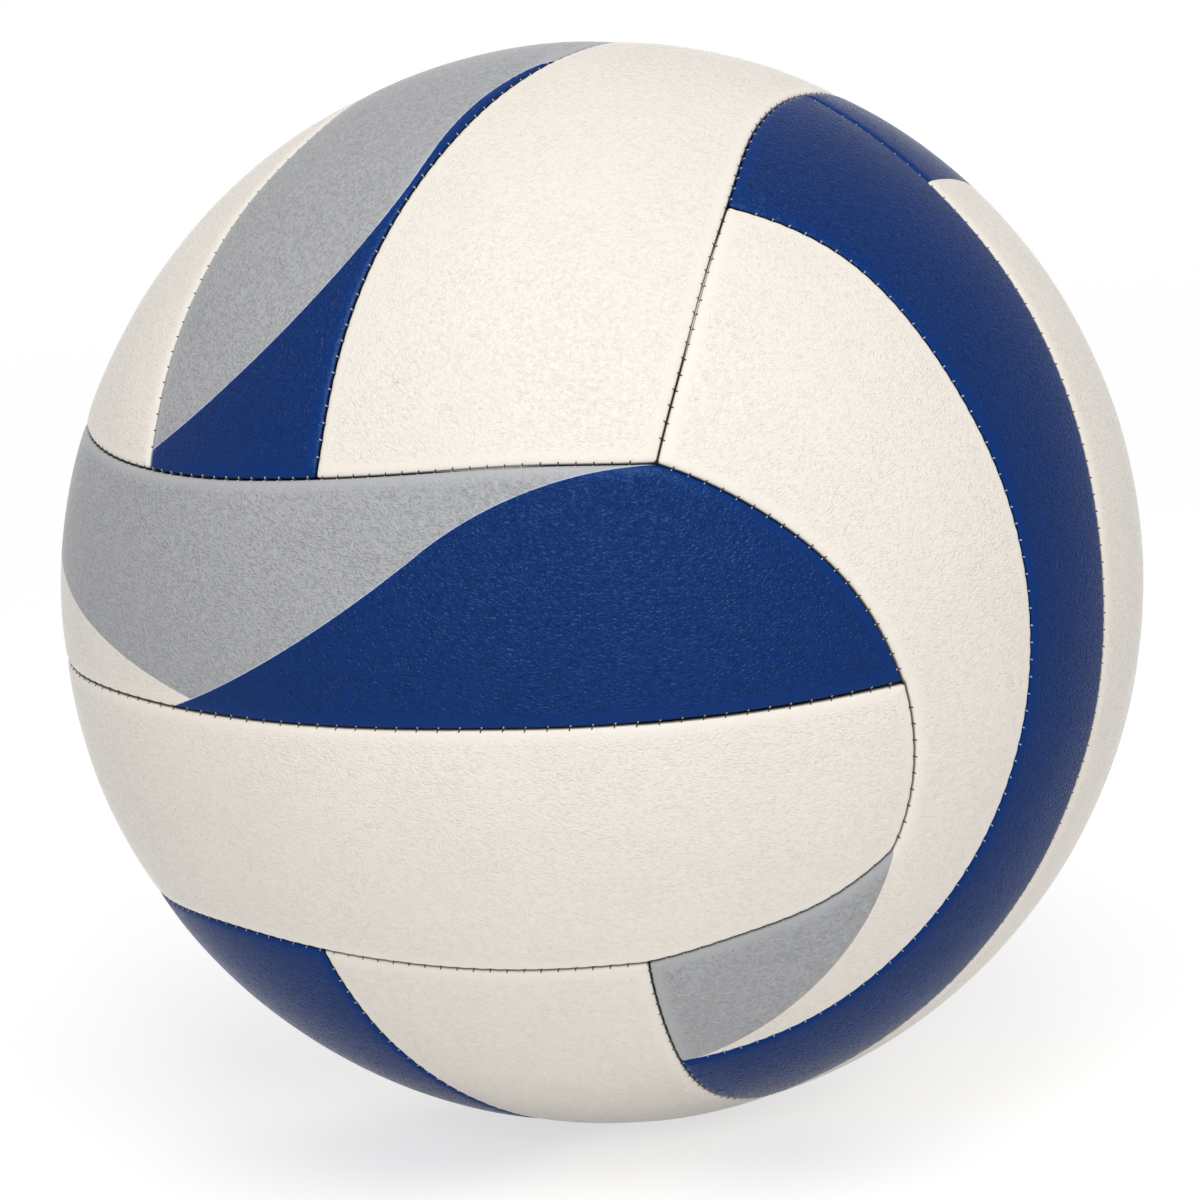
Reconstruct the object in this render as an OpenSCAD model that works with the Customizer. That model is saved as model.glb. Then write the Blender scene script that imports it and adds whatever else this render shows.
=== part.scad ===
// Indoor volleyball: a rubber bladder inside a cover of curved panels sewn edge to edge.
// The origin is the centre of the ball, with +Z up, the broad front panels to -Y and the valve to +Y.

/* [Ball] */
// Outside diameter of the inflated ball
ball_d = 210; // [200:1:220]

/* [Cover panels] */
// Thickness of the leather skin of a panel
skin_t = 1.2; // [0.8:0.1:1.4]
// Depth to which the edge of a skin is folded in along a seam
fold_depth = 3.2; // [2.6:0.1:3.3]
// Thickness of the foam pad under a skin
foam_t = 2; // [1.6:0.1:2.4]
// Thickness of the cloth lining glued under the foam
lining_t = 0.7; // [0.5:0.1:1]
// Thickness of the glue line between two layers
glue_t = 0.1; // [0.05:0.05:0.2]
// Gap between the folded edges of two neighbouring skins
seam_gap = 0.4; // [0.2:0.1:0.8]

/* [Seam thread] */
// Diameter of the sewing thread
thread_d = 0.5; // [0.3:0.1:0.6]
// Distance by which a run of thread stops short of a corner
thread_stop = 3; // [2:0.5:5]

/* [Bladder] */
// Thickness of the rubber bladder wall
bladder_t = 0.7; // [0.5:0.1:1.2]
// Clearance between the linings and the bladder
bladder_gap = 0.2; // [0.1:0.05:0.4]

/* [Valve] */
// Diameter of the hole through the skin for the valve head
valve_hole_d = 8.4; // [7.6:0.2:10]
// Diameter of the valve head
valve_head_d = 8; // [7:0.2:9]
// Depth of the valve head's face below the surface of the ball
valve_recess = 0.4; // [0.2:0.1:0.6]
// Diameter of the valve body inside the bladder
valve_body_d = 12; // [11:0.5:14]
// Length of the valve body inside the bladder
valve_body_len = 16; // [12:1:20]
// Diameter of the flange that bonds the valve to the patch
valve_flange_d = 24; // [20:1:28]
// Thickness of the flange
valve_flange_t = 1; // [0.8:0.1:1.5]
// Diameter of the patch that stiffens the bladder round the valve
patch_d = 40; // [32:1:50]
// Thickness of the patch
patch_t = 0.8; // [0.5:0.1:1.2]
// Diameter of the rubber core that seals the valve
core_d = 5; // [4:0.2:5.6]
// Length of the core
core_len = 16; // [12:1:18]
// Diameter of the needle channel in the core
needle_d = 2; // [1.6:0.1:2.4]
// Length of the needle channel
needle_len = 13; // [10:1:14]
// Clearance between the core and the valve, and round the valve in the cover
valve_gap = 0.1; // [0.05:0.05:0.2]

/* [Hidden] */
$fn = 96;
ball_r = ball_d / 2;
// Overrun of a cut past what it cuts
over = 1;
// Reach of the cutting blocks from the centre
far = ball_r + 10 * over;
// Each layer lies a glue line under the one above it
foam_r = ball_r - skin_t - glue_t;
lining_r = foam_r - foam_t - glue_t;
cover_in_r = lining_r - lining_t;
bladder_r = cover_in_r - bladder_gap;
bladder_in_r = bladder_r - bladder_t;
patch_r = bladder_in_r - glue_t;
flange_r = patch_r - patch_t - glue_t;
// The pad and lining stand off the seam by the gap, the folded edge and its glue
skin_inset = seam_gap / 2;
pad_inset = skin_inset + skin_t + glue_t;
thread_r = (ball_r - fold_depth + cover_in_r) / 2;

// A seam is a circle on the ball, [azimuth, elevation, half angle] in degrees as seen
// from the centre. Azimuth 0 points to -Y and azimuth 90 to +X. A direction can also be
// written over the pole, as [azimuth + 180, 180 - elevation].
seam_front_top = [-60, 88.5, 67];
seam_front_mid = [-150, 89.5, 92.5];
seam_front_low = [-50, -88.5, 60];
seam_upper_end = [18.5, -13.5, 39];
seam_lower_end = [29, -9, 28];
seam_lower_slope = [22, 29, 59];
seam_front_left = [5, -10, 76];
seam_back_upper = [0, 90, 82.5];
seam_back_lower = [0, 90, 99];
seam_back_right = [160, -8, 46];
seam_back_left = [-164, -4, 44];
seam_top_right = [98, -5.5, 70];
seam_top_left = [-105, 22.5, 36.5];
seam_top_inner = [85, -4, 92.5];
seam_top_outer = [82, 0, 112];
seam_low_right = [86.5, -13.5, 56];
seam_low_left = [72, 205, 29.8];
seam_low_inner = [76, 2, 89];
seam_low_outer = [-114, -29.5, 46.5];
seam_right_front = [20.5, 4, 53.5];
seam_right_back = [2, 8, 87];
seam_left_front = [-20, -4, 67];
seam_left_back = [-8, -2, 96];
// Azimuths past which the ends of the two front panels take over
upper_end_from = 20;
lower_end_from = 28.5;
// A seam within this lean of a great circle is cut flat
flat_lean = 8;

PANELS = ["front_upper", "front_lower", "top_left", "top_mid", "top_right", "right_front", "right_mid",
          "right_back", "bottom_left", "bottom_mid", "bottom_right", "left_front", "left_mid",
          "left_back", "back_upper", "back_mid", "back_lower"];
PANEL_COLOURS = ["mediumblue", "ivory", "ivory", "silver", "ivory", "ivory", "mediumblue", "ivory",
                 "ivory", "mediumblue", "ivory", "ivory", "mediumblue", "ivory", "ivory", "silver", "ivory"];

// Angle at the centre that a width on the surface takes up
function lean(w) = w / ball_r * 180 / PI;

module aim(c) {
  rotate([0, 90 - c[1], c[0] - 90]) children();
}

// A large ball that meets the surface squarely along a small circle
module dome(a) {
  translate([0, 0, ball_r / cos(a)]) sphere(ball_r * tan(a), $fn = 180);
}

module slab(a) {
  translate([-far, -far, ball_r * cos(a)]) cube([2 * far, 2 * far, 2 * far]);
}

// Everything on the inner side of a seam, drawn back from it by g
module cap(c, g) {
  a = c[2] - lean(g);
  aim(c) {
    if (a < 90 - flat_lean) dome(a);
    else if (a < 90 + flat_lean) slab(a);
    else difference() {
      cube(4 * far, center = true);
      mirror([0, 0, 1]) dome(180 - a);
    }
  }
}

// The half of space past a meridian
module past(az) {
  rotate([0, 0, az - 90]) translate([-far, 0, -far]) cube([2 * far, far, 2 * far]);
}

module shell(r_out, r_in) {
  difference() {
    sphere(r_out);
    sphere(r_in);
  }
}

// Space beyond one seam and outside another
module zone(c, but, g) {
  difference() {
    cap(c, g);
    cap(but, -g);
  }
}

// The bulging right ends of the two front panels
module upper_end(g) {
  intersection() {
    cap(seam_upper_end, g);
    cap(seam_front_mid, g);
  }
}

module lower_end(g) {
  difference() {
    intersection() {
      cap(seam_lower_end, g);
      cap(seam_lower_slope, g);
    }
    cap(seam_front_mid, -g);
  }
}

// Space beyond a seam that only runs between the ball's upper and lower seams
module end_zone(c, g) {
  difference() {
    cap(c, g);
    cap(seam_front_top, -g);
    cap(seam_front_low, -g);
  }
}

module front_upper(g) {
  difference() {
    intersection() {
      children();
      cap(seam_front_mid, g);
      cap(seam_front_left, g);
    }
    cap(seam_front_top, -g);
    difference() {
      past(upper_end_from);
      cap(seam_upper_end, g);
    }
  }
}

module front_lower(g) {
  difference() {
    intersection() {
      children();
      cap(seam_front_left, g);
    }
    cap(seam_front_mid, -g);
    cap(seam_front_low, -g);
    difference() {
      past(lower_end_from);
      lower_end(g);
    }
  }
}

module top_left(g) {
  difference() {
    intersection() {
      children();
      cap(seam_front_top, g);
    }
    cap(seam_top_left, -g);
    cap(seam_top_outer, -g);
  }
}

module top_mid(g) {
  difference() {
    intersection() {
      children();
      cap(seam_front_top, g);
      cap(seam_top_outer, g);
    }
    cap(seam_top_inner, -g);
  }
}

module top_right(g) {
  difference() {
    intersection() {
      children();
      cap(seam_front_top, g);
      cap(seam_top_inner, g);
    }
    cap(seam_top_right, -g);
  }
}

module right_front(g) {
  difference() {
    intersection() {
      children();
      past(upper_end_from);
      cap(seam_right_front, g);
    }
    zone(seam_front_top, seam_top_right, -g);
    zone(seam_front_low, seam_low_right, -g);
    upper_end(-g);
    lower_end(-g);
  }
}

module right_mid(g) {
  difference() {
    intersection() {
      children();
      past(upper_end_from);
      cap(seam_right_back, g);
    }
    cap(seam_right_front, -g);
    zone(seam_front_top, seam_top_right, -g);
    zone(seam_front_low, seam_low_right, -g);
  }
}

module right_back(g) {
  difference() {
    intersection() {
      children();
      past(0);
    }
    cap(seam_right_back, -g);
    zone(seam_front_top, seam_top_right, -g);
    zone(seam_front_low, seam_low_right, -g);
    end_zone(seam_back_right, -g);
  }
}

module bottom_left(g) {
  difference() {
    intersection() {
      children();
      cap(seam_front_low, g);
      cap(seam_low_outer, g);
    }
    cap(seam_low_left, -g);
  }
}

module bottom_mid(g) {
  difference() {
    intersection() {
      children();
      cap(seam_front_low, g);
    }
    cap(seam_low_outer, -g);
    cap(seam_low_inner, -g);
  }
}

module bottom_right(g) {
  difference() {
    intersection() {
      children();
      cap(seam_front_low, g);
      cap(seam_low_inner, g);
    }
    cap(seam_low_right, -g);
  }
}

module left_front(g) {
  difference() {
    intersection() {
      children();
      past(180);
      cap(seam_left_front, g);
    }
    cap(seam_front_left, -g);
    zone(seam_front_top, seam_top_left, -g);
    zone(seam_front_low, seam_low_left, -g);
  }
}

module left_mid(g) {
  difference() {
    intersection() {
      children();
      past(180);
      cap(seam_left_back, g);
    }
    cap(seam_left_front, -g);
    zone(seam_front_top, seam_top_left, -g);
    zone(seam_front_low, seam_low_left, -g);
  }
}

module left_back(g) {
  difference() {
    intersection() {
      children();
      past(180);
    }
    cap(seam_left_back, -g);
    zone(seam_front_top, seam_top_left, -g);
    zone(seam_front_low, seam_low_left, -g);
    end_zone(seam_back_left, -g);
  }
}

// What the back panels share: nothing past their rounded ends
module back_sides(g) {
  difference() {
    past(0);
    cap(seam_back_right, g);
  }
  difference() {
    past(180);
    cap(seam_back_left, g);
  }
}

module back_upper(g) {
  difference() {
    intersection() {
      children();
      cap(seam_back_upper, g);
    }
    cap(seam_front_top, -g);
    back_sides(g);
  }
}

module back_mid(g) {
  difference() {
    intersection() {
      children();
      cap(seam_back_lower, g);
    }
    cap(seam_back_upper, -g);
    back_sides(g);
  }
}

module back_lower(g) {
  difference() {
    children();
    cap(seam_back_lower, -g);
    cap(seam_front_low, -g);
    back_sides(g);
  }
}

// One panel cut from whatever shell it is given
module panel(i, g) {
  if (i == 0) front_upper(g) children();
  if (i == 1) front_lower(g) children();
  if (i == 2) top_left(g) children();
  if (i == 3) top_mid(g) children();
  if (i == 4) top_right(g) children();
  if (i == 5) right_front(g) children();
  if (i == 6) right_mid(g) children();
  if (i == 7) right_back(g) children();
  if (i == 8) bottom_left(g) children();
  if (i == 9) bottom_mid(g) children();
  if (i == 10) bottom_right(g) children();
  if (i == 11) left_front(g) children();
  if (i == 12) left_mid(g) children();
  if (i == 13) left_back(g) children();
  if (i == 14) back_upper(g) children();
  if (i == 15) back_mid(g) children();
  if (i == 16) back_lower(g) children();
}

// A straight hole along the valve's axis
module valve_hole(d) {
  rotate([-90, 0, 0]) cylinder(h = far, d = d);
}

// The skin is a tray: its edge is folded in all round
module skin(i) {
  color(PANEL_COLOURS[i]) difference() {
    panel(i, skin_inset) shell(ball_r, ball_r - fold_depth);
    panel(i, skin_inset + skin_t) shell(ball_r - skin_t, ball_r - fold_depth - over);
    if (PANELS[i] == "back_mid") valve_hole(valve_hole_d);
  }
}

module foam(i) {
  color("white") difference() {
    panel(i, pad_inset) shell(foam_r, foam_r - foam_t);
    if (PANELS[i] == "back_mid") valve_hole(valve_hole_d);
  }
}

module lining(i) {
  color("beige") difference() {
    panel(i, pad_inset) shell(lining_r, cover_in_r);
    if (PANELS[i] == "back_mid") valve_hole(valve_hole_d);
  }
}

// Unit vectors of a direction and of the frame that aim() turns to it
function toward(c) = [sin(c[0]) * cos(c[1]), -cos(c[0]) * cos(c[1]), sin(c[1])];
function aim_x(c) = [sin(c[0]) * sin(c[1]), -cos(c[0]) * sin(c[1]), -cos(c[1])];
function aim_y(c) = [cos(c[0]), sin(c[0]), 0];

// Half angle of a seam's wall at the depth of the thread
function thread_angle(c) =
  abs(c[2] - 90) < flat_lean
    ? acos(ball_r * cos(c[2]) / thread_r)
    : acos((thread_r * thread_r + ball_r * ball_r) * cos(c[2]) / (2 * thread_r * ball_r));

// Where two seams cross at that depth, on the side of a hint [azimuth, elevation]
function meet(a, b, hint) =
  let (u = toward(a), v = toward(b), ca = cos(thread_angle(a)), cb = cos(thread_angle(b)),
       d = u * v, n = cross(u, v), x = (ca - cb * d) / (n * n), y = (cb - ca * d) / (n * n),
       h = sqrt((1 - x * x - y * y - 2 * x * y * d) / (n * n)), p = x * u + y * v + h * n,
       q = x * u + y * v - h * n)
  p * toward(hint) > q * toward(hint) ? p : q;

function spin(c, p) = atan2(p * aim_y(c), p * aim_x(c));
function turn(a) = a - 360 * floor(a / 360);

// Thread along one seam, from its crossing with seam a to its crossing with seam b,
// by way of a hint that lies between them
module run(c, a, hint_a, b, hint_b, via) {
  sa = spin(c, meet(c, a, hint_a));
  sb = spin(c, meet(c, b, hint_b));
  straight = turn(spin(c, toward(via)) - sa) < turn(sb - sa);
  from = straight ? sa : sb;
  sweep = turn(straight ? sb - sa : sa - sb);
  half = thread_angle(c);
  stop = thread_stop / (thread_r * sin(half)) * 180 / PI;
  aim(c) rotate([0, 0, from + stop])
    translate([0, 0, thread_r * cos(half)])
      rotate_extrude(angle = sweep - 2 * stop)
        translate([thread_r * sin(half), 0]) circle(d = thread_d, $fn = 16);
}

module seam_thread() {
  color("dimgray") {
    run(seam_front_top, seam_front_left, [-65, 22], seam_top_right, [32, 23], [0, 22]);
    run(seam_front_top, seam_back_right, [125, 22], seam_back_left, [-128, 22], [180, 23]);
    run(seam_front_low, seam_front_left, [-75, -29], seam_low_right, [28, -30], [0, -30]);
    run(seam_front_low, seam_back_right, [117, -30], seam_back_left, [-126, -30], [180, -30]);
    run(seam_front_mid, seam_front_left, [-71, -3], seam_upper_end, [56, -2], [0, -2]);
    run(seam_back_upper, seam_back_right, [119, 8], seam_back_left, [-122, 8], [180, 8]);
    run(seam_back_lower, seam_back_right, [114, -9], seam_back_left, [-121, -9], [180, -9]);
    run(seam_upper_end, seam_front_top, [32, 23], seam_front_mid, [56, -2], [50, 12]);
    run(seam_lower_end, seam_front_mid, [56, -2], seam_lower_slope, [56, -20], [57, -10]);
    run(seam_lower_slope, seam_lower_end, [56, -20], seam_front_low, [28, -30], [42, -27]);
    run(seam_front_left, seam_front_top, [-65, 22], seam_front_low, [-74, -29], [-71, -3]);
    run(seam_back_right, seam_front_top, [125, 23], seam_front_low, [117, -30], [114, -8]);
    run(seam_back_left, seam_front_top, [-128, 22], seam_front_low, [-126, -30], [-120, -4]);
    run(seam_top_right, seam_front_top, [32, 23], seam_front_top, [164, 23], [98, 64]);
    run(seam_low_right, seam_front_low, [28, -30], seam_front_low, [144, -30], [86, -69]);
    run(seam_top_left, seam_front_top, [-65, 22], seam_front_top, [-145, 22], [-105, 59]);
    run(seam_low_left, seam_front_low, [-74, -29], seam_front_low, [-141, -29], [-108, -54]);
    run(seam_right_front, seam_top_right, [50, 50], seam_low_right, [33, -47], [74, 0]);
    run(seam_right_back, seam_top_right, [95, 64], seam_low_right, [75, -68], [89, 0]);
    run(seam_left_front, seam_top_left, [-75, 42], seam_low_left, [-77, -39], [-87, -4]);
    run(seam_left_back, seam_top_left, [-105, 58], seam_low_left, [-104, -54], [-104, -2]);
    run(seam_top_inner, seam_front_top, [-5, 22], seam_front_top, [175, 23], [85, 88]);
    run(seam_top_outer, seam_front_top, [-31, 22], seam_front_top, [-165, 22], [-98, 68]);
    run(seam_low_inner, seam_front_low, [-11, -30], seam_front_low, [164, -30], [76, -87]);
    run(seam_low_outer, seam_front_low, [-61, -29], seam_front_low, [-168, -30], [-114, -76]);
  }
}

module bladder() {
  color("black") difference() {
    shell(bladder_r, bladder_in_r);
    valve_hole(valve_head_d + 2 * valve_gap);
  }
}

// A round cut from a shell about the valve's axis, with a hole in its middle
module valve_disc(r_out, t, d, hole_d) {
  difference() {
    intersection() {
      shell(r_out, r_out - t);
      valve_hole(d);
    }
    valve_hole(hole_d);
  }
}

module bladder_patch() {
  color("dimgray") valve_disc(patch_r, patch_t, patch_d, valve_head_d + 2 * valve_gap);
}

module valve_housing() {
  head_y = ball_r - valve_recess;
  body_y = flange_r - valve_flange_t;
  color("black") difference() {
    union() {
      rotate([-90, 0, 0]) cylinder(h = head_y, d = valve_head_d);
      intersection() {
        sphere(flange_r);
        valve_hole(valve_flange_d);
      }
    }
    difference() {
      sphere(flange_r - valve_flange_t);
      valve_hole(valve_body_d);
    }
    rotate([-90, 0, 0]) cylinder(h = body_y - valve_body_len, d = valve_flange_d);
    translate([0, head_y - core_len - valve_gap, 0]) valve_hole(core_d + 2 * valve_gap);
  }
}

module valve_core() {
  top_y = ball_r - valve_recess;
  color("dimgray") translate([0, top_y, 0]) rotate([90, 0, 0]) difference() {
    cylinder(h = core_len, d = core_d);
    translate([0, 0, -over]) cylinder(h = needle_len + over, d = needle_d);
  }
}

for (i = [0 : len(PANELS) - 1]) {
  skin(i);
  foam(i);
  lining(i);
}
seam_thread();
bladder();
bladder_patch();
valve_housing();
valve_core();
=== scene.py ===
"""Indoor volleyball: sewn leather panels, their stitches and a needle valve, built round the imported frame."""
import logging
import math
from dataclasses import dataclass
from enum import Enum

import bmesh
import bpy
import numpy as np
from mathutils import Matrix, Vector, geometry


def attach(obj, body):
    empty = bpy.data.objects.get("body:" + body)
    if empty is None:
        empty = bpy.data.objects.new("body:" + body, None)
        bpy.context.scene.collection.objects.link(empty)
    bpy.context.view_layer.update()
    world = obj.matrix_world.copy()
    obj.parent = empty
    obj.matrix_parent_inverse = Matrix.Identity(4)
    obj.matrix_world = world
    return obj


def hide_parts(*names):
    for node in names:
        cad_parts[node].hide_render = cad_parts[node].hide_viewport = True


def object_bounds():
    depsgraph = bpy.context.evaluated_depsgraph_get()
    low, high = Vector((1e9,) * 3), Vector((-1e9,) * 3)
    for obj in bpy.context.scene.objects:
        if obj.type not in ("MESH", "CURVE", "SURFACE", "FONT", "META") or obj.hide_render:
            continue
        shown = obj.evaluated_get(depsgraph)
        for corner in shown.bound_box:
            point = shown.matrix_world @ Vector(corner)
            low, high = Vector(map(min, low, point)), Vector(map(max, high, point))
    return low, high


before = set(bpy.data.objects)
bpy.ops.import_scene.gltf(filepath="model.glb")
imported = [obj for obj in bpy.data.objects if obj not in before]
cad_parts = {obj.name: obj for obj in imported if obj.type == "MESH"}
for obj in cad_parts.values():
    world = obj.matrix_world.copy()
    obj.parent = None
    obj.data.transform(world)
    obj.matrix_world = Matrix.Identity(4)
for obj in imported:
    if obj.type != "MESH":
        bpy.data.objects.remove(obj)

LOG = logging.getLogger("volleyball")
MM = 0.001
CAD_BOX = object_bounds()
BALL_R = 105 * MM
ROOT = "root"

# Half the gap between two neighbouring panels
EDGE = 0.13 * MM
# How far below the ball's surface a panel's edge is folded in
FOLD_DEPTH = 3.2 * MM
SKIN_T = 1.2 * MM
STITCH_PITCH = 3.2 * MM
VALVE_HOLE_R = 4.2 * MM
COARSER = 1
# Name under which a panel's mesh keeps each point's distance from the edge
EDGE_DISTANCE = "edge_distance"
WHITE_LIGHT = (1.0, 1.0, 1.0)

Edge = tuple[tuple[float, float], ...]


def toward(azimuth: float, elevation: float) -> np.ndarray:
    """Unit vector from the ball's centre: azimuth 0 is -Y, azimuth 90 is +X."""
    a, e = math.radians(azimuth), math.radians(elevation)
    return np.array([math.sin(a) * math.cos(e), -math.cos(a) * math.cos(e), math.sin(e)])


def unit(vectors: np.ndarray) -> np.ndarray:
    """Vectors scaled to length one."""
    return vectors / np.linalg.norm(vectors, axis=-1, keepdims=True)


def crosswise(way: np.ndarray) -> tuple[np.ndarray, np.ndarray]:
    """Two unit vectors square to each direction and to each other.

    Args:
        way: Unit vectors, as rows.

    Returns:
        The two sets of vectors, as rows.
    """
    helper = np.where(np.abs(way[..., 2:3]) < 0.9, [0.0, 0.0, 1.0], [1.0, 0.0, 0.0])
    first = unit(np.cross(helper, way))
    return first, np.cross(way, first)


class Value:
    """A node's output socket that takes part in plain arithmetic."""

    def __init__(self, graph: "Graph", socket: bpy.types.NodeSocket) -> None:
        """Keeps the socket and the graph that new nodes are added to."""
        self.graph = graph
        self.socket = socket

    def _maths(self, operation: str, *terms: "Value | float") -> "Value":
        """Adds a Math node on the given terms."""
        return self.graph.node("ShaderNodeMath", {"operation": operation}, dict(enumerate(terms)))

    def __add__(self, other: "Value | float") -> "Value":
        """Sum."""
        return self._maths("ADD", self, other)

    __radd__ = __add__

    def __sub__(self, other: "Value | float") -> "Value":
        """Difference."""
        return self._maths("SUBTRACT", self, other)

    def __rsub__(self, other: float) -> "Value":
        """Difference from a number."""
        return self._maths("SUBTRACT", other, self)

    def __mul__(self, other: "Value | float") -> "Value":
        """Product."""
        return self._maths("MULTIPLY", self, other)

    __rmul__ = __mul__

    def __neg__(self) -> "Value":
        """Sign changed."""
        return self._maths("MULTIPLY", self, -1.0)

    def __abs__(self) -> "Value":
        """Size without its sign."""
        return self._maths("ABSOLUTE", self)

    def lower(self, other: "Value | float") -> "Value":
        """The lower of two values."""
        return self._maths("MINIMUM", self, other)

    def higher(self, other: "Value | float") -> "Value":
        """The higher of two values."""
        return self._maths("MAXIMUM", self, other)

    def angle(self) -> "Value":
        """Arc cosine."""
        return self._maths("ARCCOSINE", self)

    def ramp(self, start: float, end: float) -> "Value":
        """Smooth step from 0 at start to 1 at end.

        Args:
            start: Value at which the result is 0.
            end: Value at which the result is 1.

        Returns:
            The stepped value.
        """
        settings = {"interpolation_type": "SMOOTHSTEP", "clamp": True}
        sockets = {"Value": self, "From Min": start, "From Max": end}
        return self.graph.node("ShaderNodeMapRange", settings, sockets, "Result")


class Graph:
    """The node tree of one material, or of the room round the ball."""

    def __init__(self, owner: bpy.types.Material | bpy.types.World) -> None:
        """Leaves only an output node in the tree.

        Args:
            owner: The material or world that has the tree.
        """
        room = isinstance(owner, bpy.types.World)
        self.owner = owner
        self.owner.use_nodes = True
        self.tree = owner.node_tree
        self.tree.nodes.clear()
        self.output = self.tree.nodes.new("ShaderNodeOutputWorld" if room else "ShaderNodeOutputMaterial")

    @classmethod
    def named(cls, name: str) -> "Graph":
        """The tree of a new material."""
        return cls(bpy.data.materials.new(name))

    def node(self, kind: str, settings: dict[str, object], sockets: dict[str | int, object],
             out: str | int = 0) -> Value:
        """Adds a node.

        Args:
            kind: Type name of the node.
            settings: Properties of the node, set first.
            sockets: Values or links of its inputs, by name or place.
            out: Name or place of the output that is wanted.

        Returns:
            That output.
        """
        made = self.tree.nodes.new(kind)
        for name, setting in settings.items():
            setattr(made, name, setting)
        for name, value in sockets.items():
            if isinstance(value, Value):
                self.tree.links.new(value.socket, made.inputs[name])
            else:
                made.inputs[name].default_value = value
        return Value(self, made.outputs[out])

    def vectors(self, operation: str, first: object, second: object, out: str = "Vector") -> Value:
        """Adds a Vector Math node on two vectors, the second a number for SCALE."""
        place = 3 if operation == "SCALE" else 1
        return self.node("ShaderNodeVectorMath", {"operation": operation}, {0: first, place: second}, out)

    def blend(self, share: Value | float, first: object, second: object) -> Value:
        """Mixes two colours, from the first at share 0 to the second at share 1."""
        return self.node("ShaderNodeMix", {"data_type": "RGBA"}, {0: share, 6: first, 7: second}, 2)

    def plain(self, colour: tuple[float, float, float]) -> Value:
        """An even colour as a node."""
        return self.blend(0.0, (*colour, 1.0), (*colour, 1.0))

    def shaded(self, colour: Value, strength: Value | float) -> Value:
        """A colour or vector multiplied by a value."""
        return self.vectors("SCALE", colour, strength)

    def place(self) -> Value:
        """The point on the piece, in metres from the ball's centre."""
        return self.node("ShaderNodeTexCoord", {}, {}, "Object")

    def seen(self) -> Value:
        """Tells what the camera shows from what only lights the ball.

        Returns:
            1 on a path from the camera, straight, mirrored or through glass, and 0 on any other.
        """
        kinds = ("Is Camera Ray", "Is Glossy Ray", "Is Transmission Ray")
        straight, mirrored, through = [self.node("ShaderNodeLightPath", {}, {}, kind) for kind in kinds]
        return straight.higher(mirrored).higher(through)

    def clouds(self, where: Value, scale: float, detail: float = 2.0, roughness: float = 0.5,
               out: str = "Fac") -> Value:
        """Adds a Noise texture."""
        sockets = {"Vector": where, "Scale": scale, "Detail": detail, "Roughness": roughness}
        return self.node("ShaderNodeTexNoise", {"noise_dimensions": "3D"}, sockets, out)

    def cells(self, where: Value, scale: float) -> Value:
        """Adds a Voronoi texture and returns the distance from the nearest cell's middle."""
        sockets = {"Vector": where, "Scale": scale}
        return self.node("ShaderNodeTexVoronoi", {"feature": "F1"}, sockets, "Distance")

    def bump(self, height: Value, strength: float, distance: float) -> Value:
        """Adds a Bump node on a height, and returns the bumped normal."""
        sockets = {"Height": height, "Strength": strength, "Distance": distance}
        return self.node("ShaderNodeBump", {}, sockets, "Normal")

    def principled(self, colour: object, roughness: Value, normal: Value, **constants: float) -> Value:
        """Adds a Principled shader.

        Args:
            colour: Its base colour.
            roughness: Its roughness.
            normal: Its normal.
            constants: Numbers for its metallic or its specular socket.

        Returns:
            The shader.
        """
        sockets = {"Base Color": colour, "Roughness": roughness, "Normal": normal}
        names = {"metallic": "Metallic", "specular": "Specular IOR Level"}
        sockets |= {names[key]: number for key, number in constants.items()}
        return self.node("ShaderNodeBsdfPrincipled", {}, sockets, "BSDF")

    def layered(self, share: Value | float, first: Value, second: Value) -> Value:
        """Mixes two shaders, from the first at share 0 to the second at share 1."""
        return self.node("ShaderNodeMixShader", {}, {0: share, 1: first, 2: second}, "Shader")

    def finish(self, shader: Value) -> bpy.types.Material | bpy.types.World:
        """Links a shader to the output and returns the tree's owner."""
        self.tree.links.new(shader.socket, self.output.inputs["Surface"])
        return self.owner


class Tone(Enum):
    """The leather's colours.

    Each is linear red, green and blue, then the share of painted shade in its grain's creases and how strong
    its grain is.
    """

    WHITE = (0.875, 0.824, 0.742, 0.03, 0.9)
    BLUE = (0.0003, 0.0240, 0.157, 0.22, 1.5)
    GREY = (0.440, 0.446, 0.456, 0.12, 1.5)

    @property
    def colour(self) -> tuple[float, float, float]:
        """Linear red, green and blue."""
        return self.value[:3]

    @property
    def crease(self) -> float:
        """Share of the colour that painted shade takes off in a crease."""
        return self.value[3]

    @property
    def relief(self) -> float:
        """Depth of the grain against the plain depth."""
        return self.value[4]


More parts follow.
